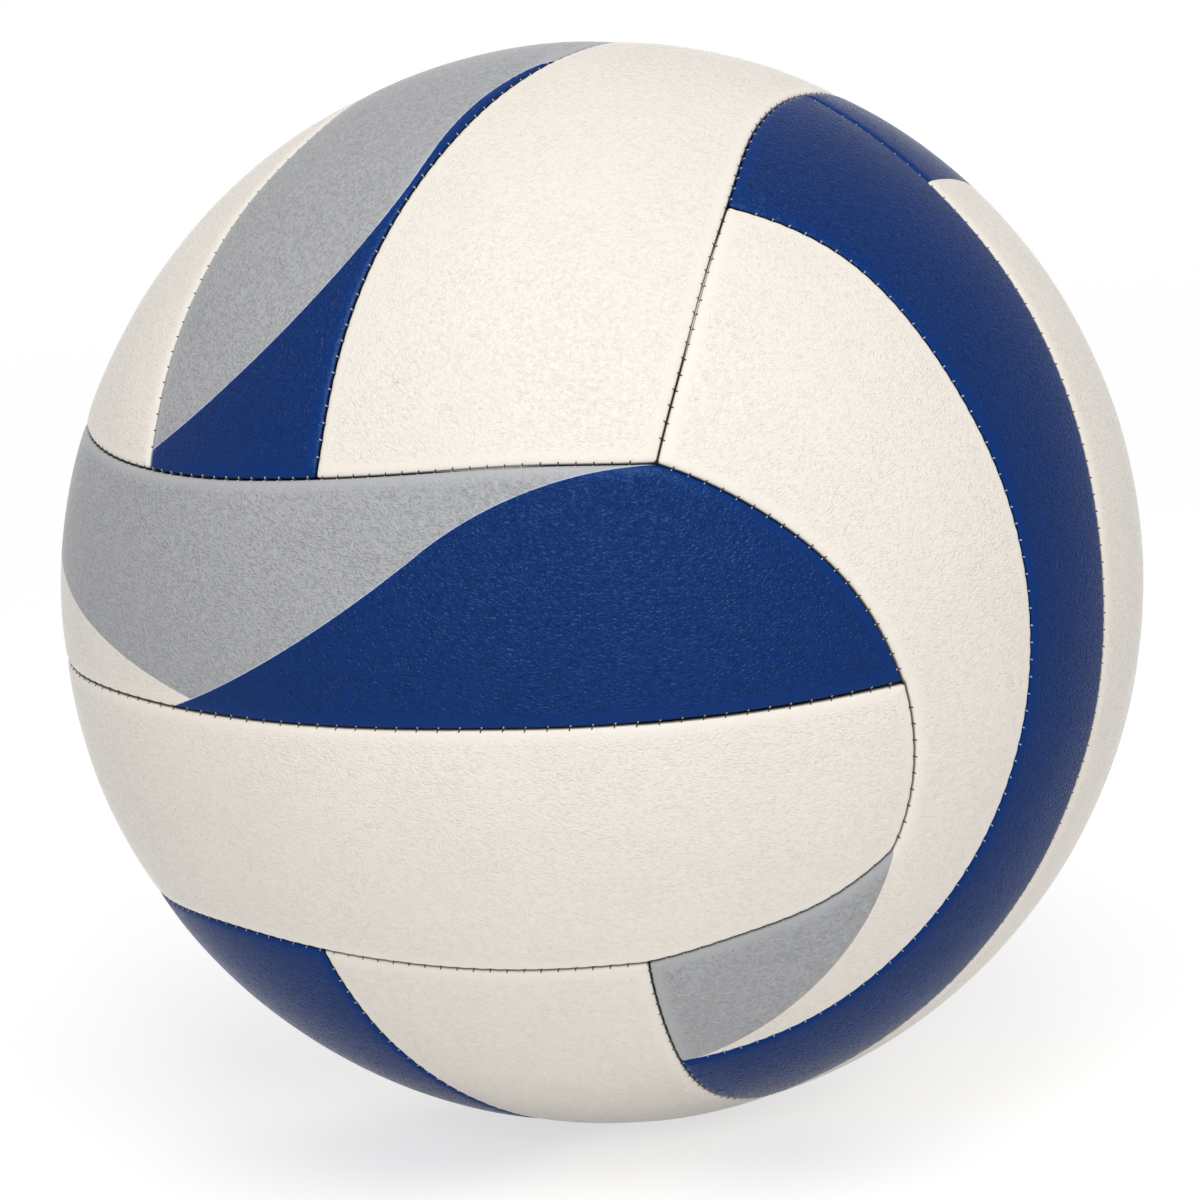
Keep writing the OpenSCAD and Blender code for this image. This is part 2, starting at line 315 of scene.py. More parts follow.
class Zone:
    """An area of the ball, known by its depth: metres to its edge, positive inside."""

    # Angle, in radians, between a direction and the four round it that its slope is taken from
    PROBE_TURN = 2e-4
    # Least squared slope that a correction is divided by, and the longest correction, in radians
    LEAST_SLOPE = 0.2
    LONGEST_MOVE = 0.02

    def measure(self, ways: np.ndarray) -> tuple[np.ndarray, np.ndarray]:
        """Depth of each direction, and its run in stitches along the edge that is nearest."""
        raise NotImplementedError

    def shade(self, way: Value) -> Value:
        """Depth as nodes, without rounded corners."""
        raise NotImplementedError

    def depth(self, ways: np.ndarray) -> np.ndarray:
        """Depth of each direction."""
        return self.measure(ways)[0]

    def probe(self, ways: np.ndarray) -> tuple[np.ndarray, np.ndarray]:
        """Takes the depth and its slope from four directions round each one.

        Args:
            ways: The directions.

        Returns:
            The depth about each direction, and its rise along the surface as a vector.
        """
        turn = self.PROBE_TURN
        first, second = crosswise(ways)
        near = [ways + turn * first, ways - turn * first, ways + turn * second, ways - turn * second]
        around = self.depth(unit(np.stack(near)))
        step = 2 * turn * BALL_R
        rise = ((around[0] - around[1]) / step)[..., None] * first
        rise = rise + ((around[2] - around[3]) / step)[..., None] * second
        return around.mean(0), rise

    def settle(self, ways: np.ndarray, level: float, rounds: int = 3) -> np.ndarray:
        """Moves directions along the slope until they lie at one depth.

        Args:
            ways: Directions near that depth.
            level: The depth, in metres.
            rounds: Number of corrections.

        Returns:
            The moved directions.
        """
        for _ in range(rounds):
            depth, rise = self.probe(ways)
            steep = np.maximum((rise * rise).sum(-1, keepdims=True), self.LEAST_SLOPE)
            off = np.clip((level - depth) / BALL_R, -self.LONGEST_MOVE, self.LONGEST_MOVE)[..., None]
            ways = unit(ways + off * rise / steep)
        return ways

    def __and__(self, other: "Zone") -> "Zone":
        """What lies in both zones."""
        return Joint(self, other, 1.0)

    def __or__(self, other: "Zone") -> "Zone":
        """What lies in either zone."""
        return Joint(self, other, -1.0)

    def __invert__(self) -> "Zone":
        """What lies outside the zone."""
        return Outside(self)

    def __sub__(self, other: "Zone") -> "Zone":
        """What lies in this zone and outside the other."""
        return self & ~other


@dataclass(frozen=True)
class Bow:
    """A smooth swelling of a circle's rim: angles in degrees along the rim, offsets in millimetres."""

    start: float
    step: float
    offsets: tuple[float, ...]

    def at(self, spin: np.ndarray) -> np.ndarray:
        """Eases from offset to offset with a cubic spline.

        Args:
            spin: Angles along the rim, in radians.

        Returns:
            How far the rim lies outside the plain circle at each angle, in metres.
        """
        places = self.start + self.step * np.arange(len(self.offsets))
        apart = np.abs((np.degrees(spin)[..., None] - places + 180) % 360 - 180) / self.step
        near = (4 - 6 * apart ** 2 + 3 * apart ** 3) / 6
        share = np.where(apart < 1, near, np.maximum(2 - apart, 0) ** 3 / 6)
        return share @ np.array(self.offsets) * MM


@dataclass(frozen=True)
class Circle(Zone):
    """Everything within an angle of a direction; its rim is a seam or a printed edge."""

    azimuth: float
    elevation: float
    half: float
    bow: Bow | None = None
    pitch: float = STITCH_PITCH

    @property
    def axis(self) -> np.ndarray:
        """Direction of its middle."""
        return toward(self.azimuth, self.elevation)

    @property
    def rim_r(self) -> float:
        """Radius of its rim on the ball's surface."""
        return BALL_R * math.sin(math.radians(self.half))

    def at(self, run: np.ndarray, aside: np.ndarray | float) -> np.ndarray:
        """Finds places by the rim.

        Args:
            run: Distances along the rim.
            aside: Distances inside the rim.

        Returns:
            Their directions, as rows.
        """
        first, second = crosswise(self.axis)
        spin = run / self.rim_r
        swell = self.bow.at(spin) if self.bow else 0.0
        lean = (math.radians(self.half) + (swell - aside) / BALL_R + 0 * spin)[..., None]
        flat = np.cos(spin)[..., None] * first + np.sin(spin)[..., None] * second
        return np.cos(lean) * self.axis + np.sin(lean) * flat

    def measure(self, ways: np.ndarray) -> tuple[np.ndarray, np.ndarray]:
        """Measures directions against the rim.

        Args:
            ways: The directions.

        Returns:
            Their depth inside the rim, and their run along it in stitches.
        """
        first, second = crosswise(self.axis)
        depth = BALL_R * (math.radians(self.half) - np.arccos(np.clip(ways @ self.axis, -1, 1)))
        spin = np.arctan2(ways @ second, ways @ first)
        if self.bow:
            depth = depth + self.bow.at(spin)
        return depth, self.rim_r * spin / self.pitch

    def shade(self, way: Value) -> Value:
        """Depth inside the rim, in nodes."""
        cosine = way.graph.vectors("DOT_PRODUCT", way, tuple(self.axis), "Value")
        return (math.radians(self.half) - cosine.angle()) * BALL_R


@dataclass(frozen=True)
class Outside(Zone):
    """The rest of the ball."""

    zone: Zone

    def measure(self, ways: np.ndarray) -> tuple[np.ndarray, np.ndarray]:
        """Depth with its sign changed."""
        depth, run = self.zone.measure(ways)
        return -depth, run

    def shade(self, way: Value) -> Value:
        """Depth with its sign changed, in nodes."""
        return -self.zone.shade(way)


@dataclass(frozen=True)
class Joint(Zone):
    """Two zones taken together, with the corner between their edges a little rounded."""

    first: Zone
    second: Zone
    sign: float
    rounding: float = 0.6 * MM

    def measure(self, ways: np.ndarray) -> tuple[np.ndarray, np.ndarray]:
        """Measures directions against the nearer edge, eased where both are near.

        Args:
            ways: The directions.

        Returns:
            Their depth, and their run in stitches along the nearer edge.
        """
        one, run_one = self.first.measure(ways)
        two, run_two = self.second.measure(ways)
        one, two = self.sign * one, self.sign * two
        ease = np.maximum(self.rounding - np.abs(one - two), 0) / self.rounding
        depth = np.minimum(one, two) - ease * ease * self.rounding / 4
        return self.sign * depth, np.where(one < two, run_one, run_two)

    def shade(self, way: Value) -> Value:
        """Depth of the nearer edge, in nodes."""
        one, two = self.first.shade(way), self.second.shade(way)
        return one.lower(two) if self.sign > 0 else one.higher(two)


@dataclass(frozen=True)
class Swerve(Zone):
    """An S-shaped edge: inside one circle on a side of the ball, outside another on its other side."""

    side: Circle
    inside: Circle
    beyond: Circle

    def measure(self, ways: np.ndarray) -> tuple[np.ndarray, np.ndarray]:
        """Measures directions against the circle of their side.

        Args:
            ways: The directions.

        Returns:
            Their depth, and their run in stitches.
        """
        here = self.side.depth(ways) > 0
        one, run_one = self.inside.measure(ways)
        two, run_two = self.beyond.measure(ways)
        return np.where(here, one, -two), np.where(here, run_one, run_two)

    def shade(self, way: Value) -> Value:
        """Depth from the circle of each side, in nodes."""
        here = self.side.shade(way).ramp(-1e-7, 1e-7)
        return self.inside.shade(way) * here - self.beyond.shade(way) * (1 - here)


def past(azimuth: float) -> Circle:
    """The half of the ball to the right of a meridian."""
    return Circle(azimuth + 90, 0, 90)


@dataclass(frozen=True)
class SeamPlan:
    """The seams of the cover. Each is a circle on the ball, bowed where the photograph shows it bowed."""

    front_top: Circle = Circle(-60, 88.5, 67, Bow(289.1, 13.01, (
        -0.3, -1.1, 0.0, 0.5, 0.6, -0.4, -1.3, -2.0, 0.5, 1.2)))
    front_mid: Circle = Circle(-150, 89.5, 92.5, Bow(296.6, 10.88, (
        0.4, 0.8, -0.1, -0.5, -0.3, -0.1, 0.0, 0.0, 0.5, 0.4, 0.2, -0.8, -0.4)), 4.0 * MM)
    front_low: Circle = Circle(-50, -88.5, 60, Bow(138.8, 12.09, (
        0.6, 0.3, -1.3, -1.1, -0.1, 1.4, 1.9, -0.2, -0.3)))
    upper_end: Circle = Circle(18.5, -13.5, 39, Bow(355.8, 18.35, (1.0, -0.3, 0.9, -0.5, -0.2, 0.2)))
    lower_end: Circle = Circle(29, -9, 28, Bow(316.6, 18.93, (-0.9, 0.6, 0.2, 0.2, 0.3)))
    lower_slope: Circle = Circle(22, 29, 59, Bow(265.7, 10.6, (0.3, 0.1, -1.8, 0.9, -0.3, -2.5)))
    front_left: Circle = Circle(5, -10, 76)
    back_upper: Circle = Circle(0, 90, 82.5)
    back_lower: Circle = Circle(0, 90, 99)
    back_right: Circle = Circle(160, -8, 46)
    back_left: Circle = Circle(-164, -4, 44)
    top_right: Circle = Circle(98, -5.5, 70, Bow(70.6, 11.79, (
        -1.0, -2.5, 0.2, 1.1, -1.3, -1.5, -1.7, 0.0, 0.7)))
    top_left: Circle = Circle(-105, 22.5, 36.5)
    top_inner: Circle = Circle(85, -4, 92.5, Bow(84.4, 10.45, (
        -0.6, -2.8, -1.5, -0.7, 0.6, 1.0, 0.2, -2.1, -1.2)))
    top_outer: Circle = Circle(82, 0, 112, Bow(98.5, 11.62, (-1.4, -4.5, 0.1, 1.2, 1.4, -1.5, -0.7)))
    low_right: Circle = Circle(86.5, -13.5, 56, Bow(195.0, 11.64, (0.1, 0.0, -0.7, -0.2, 0.3, -0.3, -0.3)))
    low_left: Circle = Circle(-108, -25, 29.8)
    low_inner: Circle = Circle(76, 2, 89, Bow(198.4, 10.5, (-0.4, -0.4, 0.6, 0.1, -0.3, 0.0)))
    low_outer: Circle = Circle(-114, -29.5, 46.5)
    right_front: Circle = Circle(20.5, 4, 53.5, Bow(266.1, 14.57, (
        -1.7, -2.6, 1.4, 1.6, 1.5, 1.1, 0.0, -0.8, -1.4, -0.6, 2.5, -1.9, -3.9)))
    right_back: Circle = Circle(2, 8, 87, Bow(303.6, 11.51, (
        0.0, 0.4, 1.1, 1.5, 1.6, -0.4, -0.6, 0.4, 0.9, -0.7, -0.3)))
    left_front: Circle = Circle(-20, -4, 67)
    left_back: Circle = Circle(-8, -2, 96)

    def zones(self) -> dict[str, Zone]:
        """Puts the panels together from the seams.

        Returns:
            The zone of each panel, by its name.
        """
        s = self
        low = s.lower_end & s.lower_slope & ~s.front_mid
        up = s.upper_end & s.front_mid
        sides = (past(0) - s.back_right) | (past(180) - s.back_left)
        right = self._band(past(0), s.top_right, s.low_right)
        front_right = self._band(past(20), s.top_right, s.low_right)
        left = self._band(past(180), s.top_left, s.low_left)
        return {
            "front_upper": s.front_mid & s.front_left & ~s.front_top & ~(past(20) - s.upper_end),
            "front_lower": s.front_left & ~s.front_mid & ~s.front_low & ~(past(28.5) - low),
            "top_left": s.front_top & ~s.top_left & ~s.top_outer,
            "top_mid": s.front_top & s.top_outer & ~s.top_inner,
            "top_right": s.front_top & s.top_inner & ~s.top_right,
            "right_front": front_right & s.right_front & ~up & ~low,
            "right_mid": front_right & s.right_back & ~s.right_front,
            "right_back": right & ~s.right_back & ~self._end(s.back_right),
            "bottom_left": s.front_low & s.low_outer & ~s.low_left,
            "bottom_mid": s.front_low & ~s.low_outer & ~s.low_inner,
            "bottom_right": s.front_low & s.low_inner & ~s.low_right,
            "left_front": left & s.left_front & ~s.front_left,
            "left_mid": left & s.left_back & ~s.left_front,
            "left_back": left & ~s.left_back & ~self._end(s.back_left),
            "back_upper": s.back_upper & ~s.front_top & ~sides,
            "back_mid": s.back_lower & ~s.back_upper & ~sides,
            "back_lower": ~s.back_lower & ~s.front_low & ~sides,
        }

    def _band(self, side: Circle, above: Circle, below: Circle) -> Zone:
        """A side of the ball between the top and the bottom group."""
        return side & ~(self.front_top - above) & ~(self.front_low - below)

    def _end(self, circle: Circle) -> Zone:
        """The part of a circle between the top and the bottom group."""
        return circle - self.front_top - self.front_low

    def runs(self) -> list["SeamRun"]:
        """Lists the stretches that are sewn.

        Returns:
            Every seam, from corner to corner.
        """
        s = self
        rows = [
            (s.front_top, s.front_left, (-65, 22), s.top_right, (32, 23), (0, 22)),
            (s.front_top, s.back_right, (125, 22), s.back_left, (-128, 22), (180, 23)),
            (s.front_low, s.front_left, (-75, -29), s.low_right, (28, -30), (0, -30)),
            (s.front_low, s.back_right, (117, -30), s.back_left, (-126, -30), (180, -30)),
            (s.front_mid, s.front_left, (-71, -3), s.upper_end, (56, -2), (0, -2)),
            (s.back_upper, s.back_right, (119, 8), s.back_left, (-122, 8), (180, 8)),
            (s.back_lower, s.back_right, (114, -9), s.back_left, (-121, -9), (180, -9)),
            (s.upper_end, s.front_top, (32, 23), s.front_mid, (56, -2), (50, 12)),
            (s.lower_end, s.front_mid, (56, -2), s.lower_slope, (56, -20), (57, -10)),
            (s.lower_slope, s.lower_end, (56, -20), s.front_low, (28, -30), (42, -27)),
            (s.front_left, s.front_top, (-65, 22), s.front_low, (-74, -29), (-71, -3)),
            (s.back_right, s.front_top, (125, 23), s.front_low, (117, -30), (114, -8)),
            (s.back_left, s.front_top, (-128, 22), s.front_low, (-126, -30), (-120, -4)),
            (s.top_right, s.front_top, (32, 23), s.front_top, (164, 23), (98, 64)),
            (s.low_right, s.front_low, (28, -30), s.front_low, (144, -30), (86, -69)),
            (s.top_left, s.front_top, (-65, 22), s.front_top, (-145, 22), (-105, 59)),
            (s.low_left, s.front_low, (-74, -29), s.front_low, (-141, -29), (-108, -54)),
            (s.right_front, s.top_right, (50, 50), s.low_right, (33, -47), (74, 0)),
            (s.right_back, s.top_right, (95, 64), s.low_right, (75, -68), (89, 0)),
            (s.left_front, s.top_left, (-75, 42), s.low_left, (-77, -39), (-87, -4)),
            (s.left_back, s.top_left, (-105, 58), s.low_left, (-104, -54), (-104, -2)),
            (s.top_inner, s.front_top, (-5, 22), s.front_top, (175, 23), (85, 88)),
            (s.top_outer, s.front_top, (-31, 22), s.front_top, (-165, 22), (-98, 68)),
            (s.low_inner, s.front_low, (-11, -30), s.front_low, (164, -30), (76, -87)),
            (s.low_outer, s.front_low, (-61, -29), s.front_low, (-168, -30), (-114, -76)),
        ]
        return [SeamRun(*row) for row in rows]


@dataclass(frozen=True)
class SeamRun:
    """A seam from its crossing with one seam to its crossing with another, by way of a point between them.

    Points are azimuth and elevation; those of the crossings are near them, not on them.
    """

    circle: Circle
    first: Circle
    start: tuple[float, float]
    last: Circle
    end: tuple[float, float]
    via: tuple[float, float]

    def _mark(self, point: tuple[float, float]) -> float:
        """Run along the rim of the place nearest to a point."""
        return float(self.circle.measure(toward(*point)[None])[1][0]) * self.circle.pitch

    def _crossing(self, other: Circle, point: tuple[float, float]) -> float:
        """Run along the rim of the crossing with another seam, sought up to 9 mm from a point."""
        runs = self._mark(point) + np.linspace(-9, 9, 361) * MM
        return float(runs[np.abs(other.depth(self.circle.at(runs, 0.0))).argmin()])

    def span(self) -> tuple[float, float]:
        """Finds the seam's ends on the way round that passes the point between them.

        Returns:
            First and last run along the circle's rim, in metres, the first the lower.
        """
        full = 2 * math.pi * self.circle.rim_r
        begin, close = self._crossing(self.first, self.start), self._crossing(self.last, self.end)
        if (self._mark(self.via) - begin) % full < (close - begin) % full:
            return begin, begin + (close - begin) % full
        return close, close + (begin - close) % full


@dataclass(frozen=True)
class Print:
    """A printed zone of a panel, with a thin pale line along its edge."""

    tone: Tone
    zone: Zone
    line: float = 0.0


@dataclass(frozen=True)
class Design:
    """The colours of a panel: a plain tone and the zones printed over it."""

    slot: str
    tone: Tone
    prints: tuple[Print, ...] = ()

    def tone_at(self, ways: np.ndarray) -> list[Tone]:
        """Looks up the printed tones.

        Args:
            ways: Directions on the panel.

        Returns:
            The tone at each direction.
        """
        tones = [self.tone] * len(ways)
        for area in self.prints:
            inside = area.zone.depth(ways) > 0
            tones = [area.tone if here else tone for here, tone in zip(inside, tones)]
        return tones


WHITE = Design("white_leather", Tone.WHITE)
BLUE = Design("blue_leather", Tone.BLUE)
FRONT_SWEEP = Swerve(Circle(108.7, 36.0, 90), Circle(31.1, -16.5, 39.3), Circle(-49.6, 52.0, 58.1))
TOP_SWEEP = Swerve(Circle(175.7, 29.7, 90), Circle(69.8, 25.7, 60.2), Circle(-55.0, 48.0, 31.0))
TOP_BACK_SWEEP = Swerve(Circle(-17.8, 28.4, 90), Circle(-109.0, 2.2, 60.2), Circle(154.4, 61.4, 31.0))
BACK_SWEEP = Swerve(Circle(-74, 36, 90), Circle(-151, -16.5, 39.3), Circle(130, 52.0, 58.1))
LINE = 0.25 * MM
DESIGNS: dict[str, Design] = {
    "front_upper": Design("blue_leather", Tone.WHITE, (
        Print(Tone.GREY, Circle(54, 76, 87)),
        Print(Tone.BLUE, FRONT_SWEEP, LINE),
    )),
    "front_lower": WHITE,
    "top_left": WHITE,
    "top_mid": Design("grey_leather", Tone.GREY, (
        Print(Tone.BLUE, TOP_SWEEP & past(-90) | TOP_BACK_SWEEP & past(90), LINE),
    )),
    "top_right": WHITE,
    "right_front": Design("white_leather", Tone.WHITE, (
        Print(Tone.GREY, Circle(15.8, -10, 40) & Circle(0, -90, 78)),
    )),
    "right_mid": BLUE,
    "right_back": Design("white_leather", Tone.BLUE, (Print(Tone.WHITE, Circle(86.7, -39, 87)),)),
    "bottom_left": WHITE,
    "bottom_mid": BLUE,
    "bottom_right": WHITE,
    "left_front": Design("white_leather", Tone.WHITE, (Print(Tone.BLUE, Circle(-80, 62, 36)),)),
    "left_mid": BLUE,
    "left_back": Design("white_leather", Tone.WHITE, (Print(Tone.GREY, Circle(-120, -66, 40)),)),
    "back_upper": WHITE,
    "back_mid": Design("grey_leather", Tone.GREY, (Print(Tone.BLUE, BACK_SWEEP, LINE),)),
    "back_lower": WHITE,
}


@dataclass(frozen=True)
class Leather:
    """Pebbled synthetic leather with a satin face. Lengths are in metres, and scales are cells in a metre."""

    grain_size: float = 0.85 * MM
    grain_depth: float = 0.13 * MM
    grain_warp: float = 1.2
    roughness: float = 0.205
    specular: float = 0.02
    film: float = 0.018
    film_tint: tuple[float, float, float] = (0.42, 0.74, 1.0)
    seam_shadow: float = 0.25 * MM
    smooth_until: float = 0.4 * MM
    grained_from: float = 3.5 * MM
    print_wobble: float = 0.10 * MM
    wobble_scale: float = 900.0
    print_blur: float = 0.04 * MM
    line_tint: tuple[float, float, float] = (0.62, 0.62, 0.62)
    line_cover: float = 0.75
    mottle_scale: float = 45.0
    patch_scale: float = 60.0

    def grain(self, graph: Graph, place: Value) -> Value:
        """Draws the grain: short wavy ridges with finer creases between them.

        Args:
            graph: The leather's node tree.
            place: The point on the piece.

        Returns:
            Height of the grain, about 0 to 1.
        """
        squeezed = graph.vectors("MULTIPLY", place, (1.0, 1.0, 1.5))
        bend = graph.clouds(place, 0.6 / self.grain_size, 1.0, 0.5, "Color")
        bend = graph.vectors("SUBTRACT", bend, (0.5, 0.5, 0.5))
        warped = graph.vectors("ADD", squeezed, graph.shaded(bend, self.grain_warp * self.grain_size))
        swell = graph.clouds(warped, 1.05 / self.grain_size, 0.0)
        fine = graph.clouds(warped, 2.4 / self.grain_size, 1.0)
        return (1 - abs(swell - 0.5) * 4.0) * 0.88 + fine * 0.12

    @staticmethod
    def crease_shaded_tone(graph: Graph, tone: Tone, crease: Value) -> Value:
        """A tone with painted shade: darker in the grain's creases."""
        return graph.shaded(graph.plain(tone.colour), 1 - crease * tone.crease)

    def material(self, name: str, design: Design) -> bpy.types.Material:
        """Leather with a panel's colours.

        Args:
            name: Name of the material.
            design: The panel's plain tone and prints.

        Returns:
            The material.
        """
        graph = Graph.named(name)
        place = graph.place()
        way = graph.vectors("NORMALIZE", place, (0, 0, 0))
        edge = graph.node("ShaderNodeAttribute", {"attribute_name": EDGE_DISTANCE}, {}, "Fac")
        wobble = (graph.clouds(place, self.wobble_scale) - 0.5) * self.print_wobble
        grain = self.grain(graph, place)
        stretch = edge.ramp(self.smooth_until, self.grained_from)
        # Painted shade: the colour is darkened in the grain's creases, most on blue and grey
        crease = (1 - grain.ramp(0.30, 0.95)) * stretch
        colour = self.crease_shaded_tone(graph, design.tone, crease)
        relief: Value | float = design.tone.relief
        for area in design.prints:
            depth = area.zone.shade(way) + wobble
            if area.line:
                line = 1 - abs(depth).ramp(0.3 * area.line, 0.9 * area.line)
                colour = graph.blend(line * self.line_cover, colour, (*self.line_tint, 1.0))
            inside = depth.ramp(-self.print_blur, self.print_blur)
            colour = graph.blend(inside, colour, self.crease_shaded_tone(graph, area.tone, crease))
            relief = relief + inside * (area.tone.relief - relief)
        mottle = graph.clouds(place, self.mottle_scale, 4.0, 0.55)
        worn = 0.97 + mottle * 0.06
        shadow = 0.35 + edge.ramp(0.0, self.seam_shadow) * 0.65
        colour = graph.shaded(colour, worn * shadow)
        patchy = 0.75 + graph.clouds(place, self.patch_scale, 3.0) * 0.5
        height = grain * (0.2 + stretch * 0.8) * patchy * relief
        normal = graph.bump(height, 1.0, self.grain_depth)
        rough = self.roughness - 0.03 + mottle * 0.06 + (1 - stretch) * 0.06
        hide = graph.principled(colour, rough, normal, specular=self.specular)
        film = graph.principled((*self.film_tint, 1.0), rough, normal, metallic=1.0)
        return graph.finish(graph.layered(self.film, hide, film))


def linked(name: str, mesh: bpy.types.Mesh, material: bpy.types.Material,
           smooth: bool = True) -> bpy.types.Object:
    """Makes an object of a mesh, links it to the scene and dresses it.

    Args:
        name: Name of the piece.
        mesh: Its mesh.
        material: Its material.
        smooth: Whether its faces are shaded smooth.

    Returns:
        The object.
    """
    mesh.materials.append(material)
    if smooth:
        mesh.shade_smooth()
    else:
        mesh.shade_flat()
    made = bpy.data.objects.new(name, mesh)
    bpy.context.scene.collection.objects.link(made)
    return made


def mesh_of(name: str, points: np.ndarray, faces: list[tuple[int, ...]]) -> bpy.types.Mesh:
    """Makes a mesh.

    Args:
        name: Its name.
        points: Its corners, as rows.
        faces: The places of each face's corners.

    Returns:
        The mesh.
    """
    mesh = bpy.data.meshes.new(name)
    mesh.from_pydata(points.tolist(), [], faces)
    mesh.validate()
    mesh.update()
    return mesh


def face_outward(mesh: bpy.types.Mesh) -> None:
    """Turns all faces of a closed mesh outward.

    Args:
        mesh: The mesh.
    """
    work = bmesh.new()
    work.from_mesh(mesh)
    bmesh.ops.recalc_face_normals(work, faces=work.faces)
    work.to_mesh(mesh)
    work.free()


def rolled(inward: np.ndarray, width: float, depth: float) -> np.ndarray:
    """Sink of an edge that is rolled over a quarter of an ellipse."""
    share = np.clip(1 - inward / width, 0, 1)
    return depth * (1 - np.sqrt(1 - share * share))


def lattice(spacing: float) -> np.ndarray:
    """Directions spread evenly over the ball.

    Args:
        spacing: Distance between neighbours on the ball's surface.

    Returns:
        The directions, as rows.
    """
    cell = 0.866 * spacing ** 2
    count = int(4 * math.pi * BALL_R ** 2 / cell)
    number = np.arange(count) + 0.5
    height = 1 - 2 * number / count
    spin = number * math.pi * (3 - math.sqrt(5))
    flat = np.sqrt(1 - height ** 2)
    return np.stack([flat * np.cos(spin), flat * np.sin(spin), height], -1)


def respaced(ring: np.ndarray, spacing: float) -> np.ndarray:
    """Spaces a closed ring evenly.

    Args:
        ring: Directions along the ring, as rows.
        spacing: Distance wanted between neighbours on the ball's surface.

    Returns:
        Directions along the same ring.
    """
    closed = np.vstack([ring, ring[:1]])
    gaps = np.linalg.norm(np.diff(closed, axis=0), axis=1)
    along = np.concatenate([[0.0], np.cumsum(gaps)])
    count = max(8, int(round(along[-1] * BALL_R / spacing)))
    marks = np.linspace(0, along[-1], count, endpoint=False)
    return unit(np.stack([np.interp(marks, along, closed[:, k]) for k in range(3)], -1))


class Unevenness:
    """Slight waves in the leather, the same on every build."""

    def __init__(self, seed: int, length: float, waves: int = 14) -> None:
        """Draws the waves.

        Args:
            seed: Seed of the draw.
            length: Typical wavelength, in metres.
            waves: Number of waves.
        """
        rng = np.random.default_rng(seed)
        ways = unit(rng.normal(size=(waves, 3)))
        self.pull = ways * rng.uniform(0.6, 1.6, (waves, 1)) * 2 * math.pi / length
        self.start = rng.uniform(0, 2 * math.pi, waves)

    def at(self, ways: np.ndarray) -> np.ndarray:
        """Height of the waves at each direction, about -1 to 1."""
        return np.sin(BALL_R * ways @ self.pull.T + self.start).sum(1) * math.sqrt(2 / len(self.start)) / 2


WRINKLES = Unevenness(11, 12 * MM, 18)
DENTS = Unevenness(7, 26 * MM, 16)


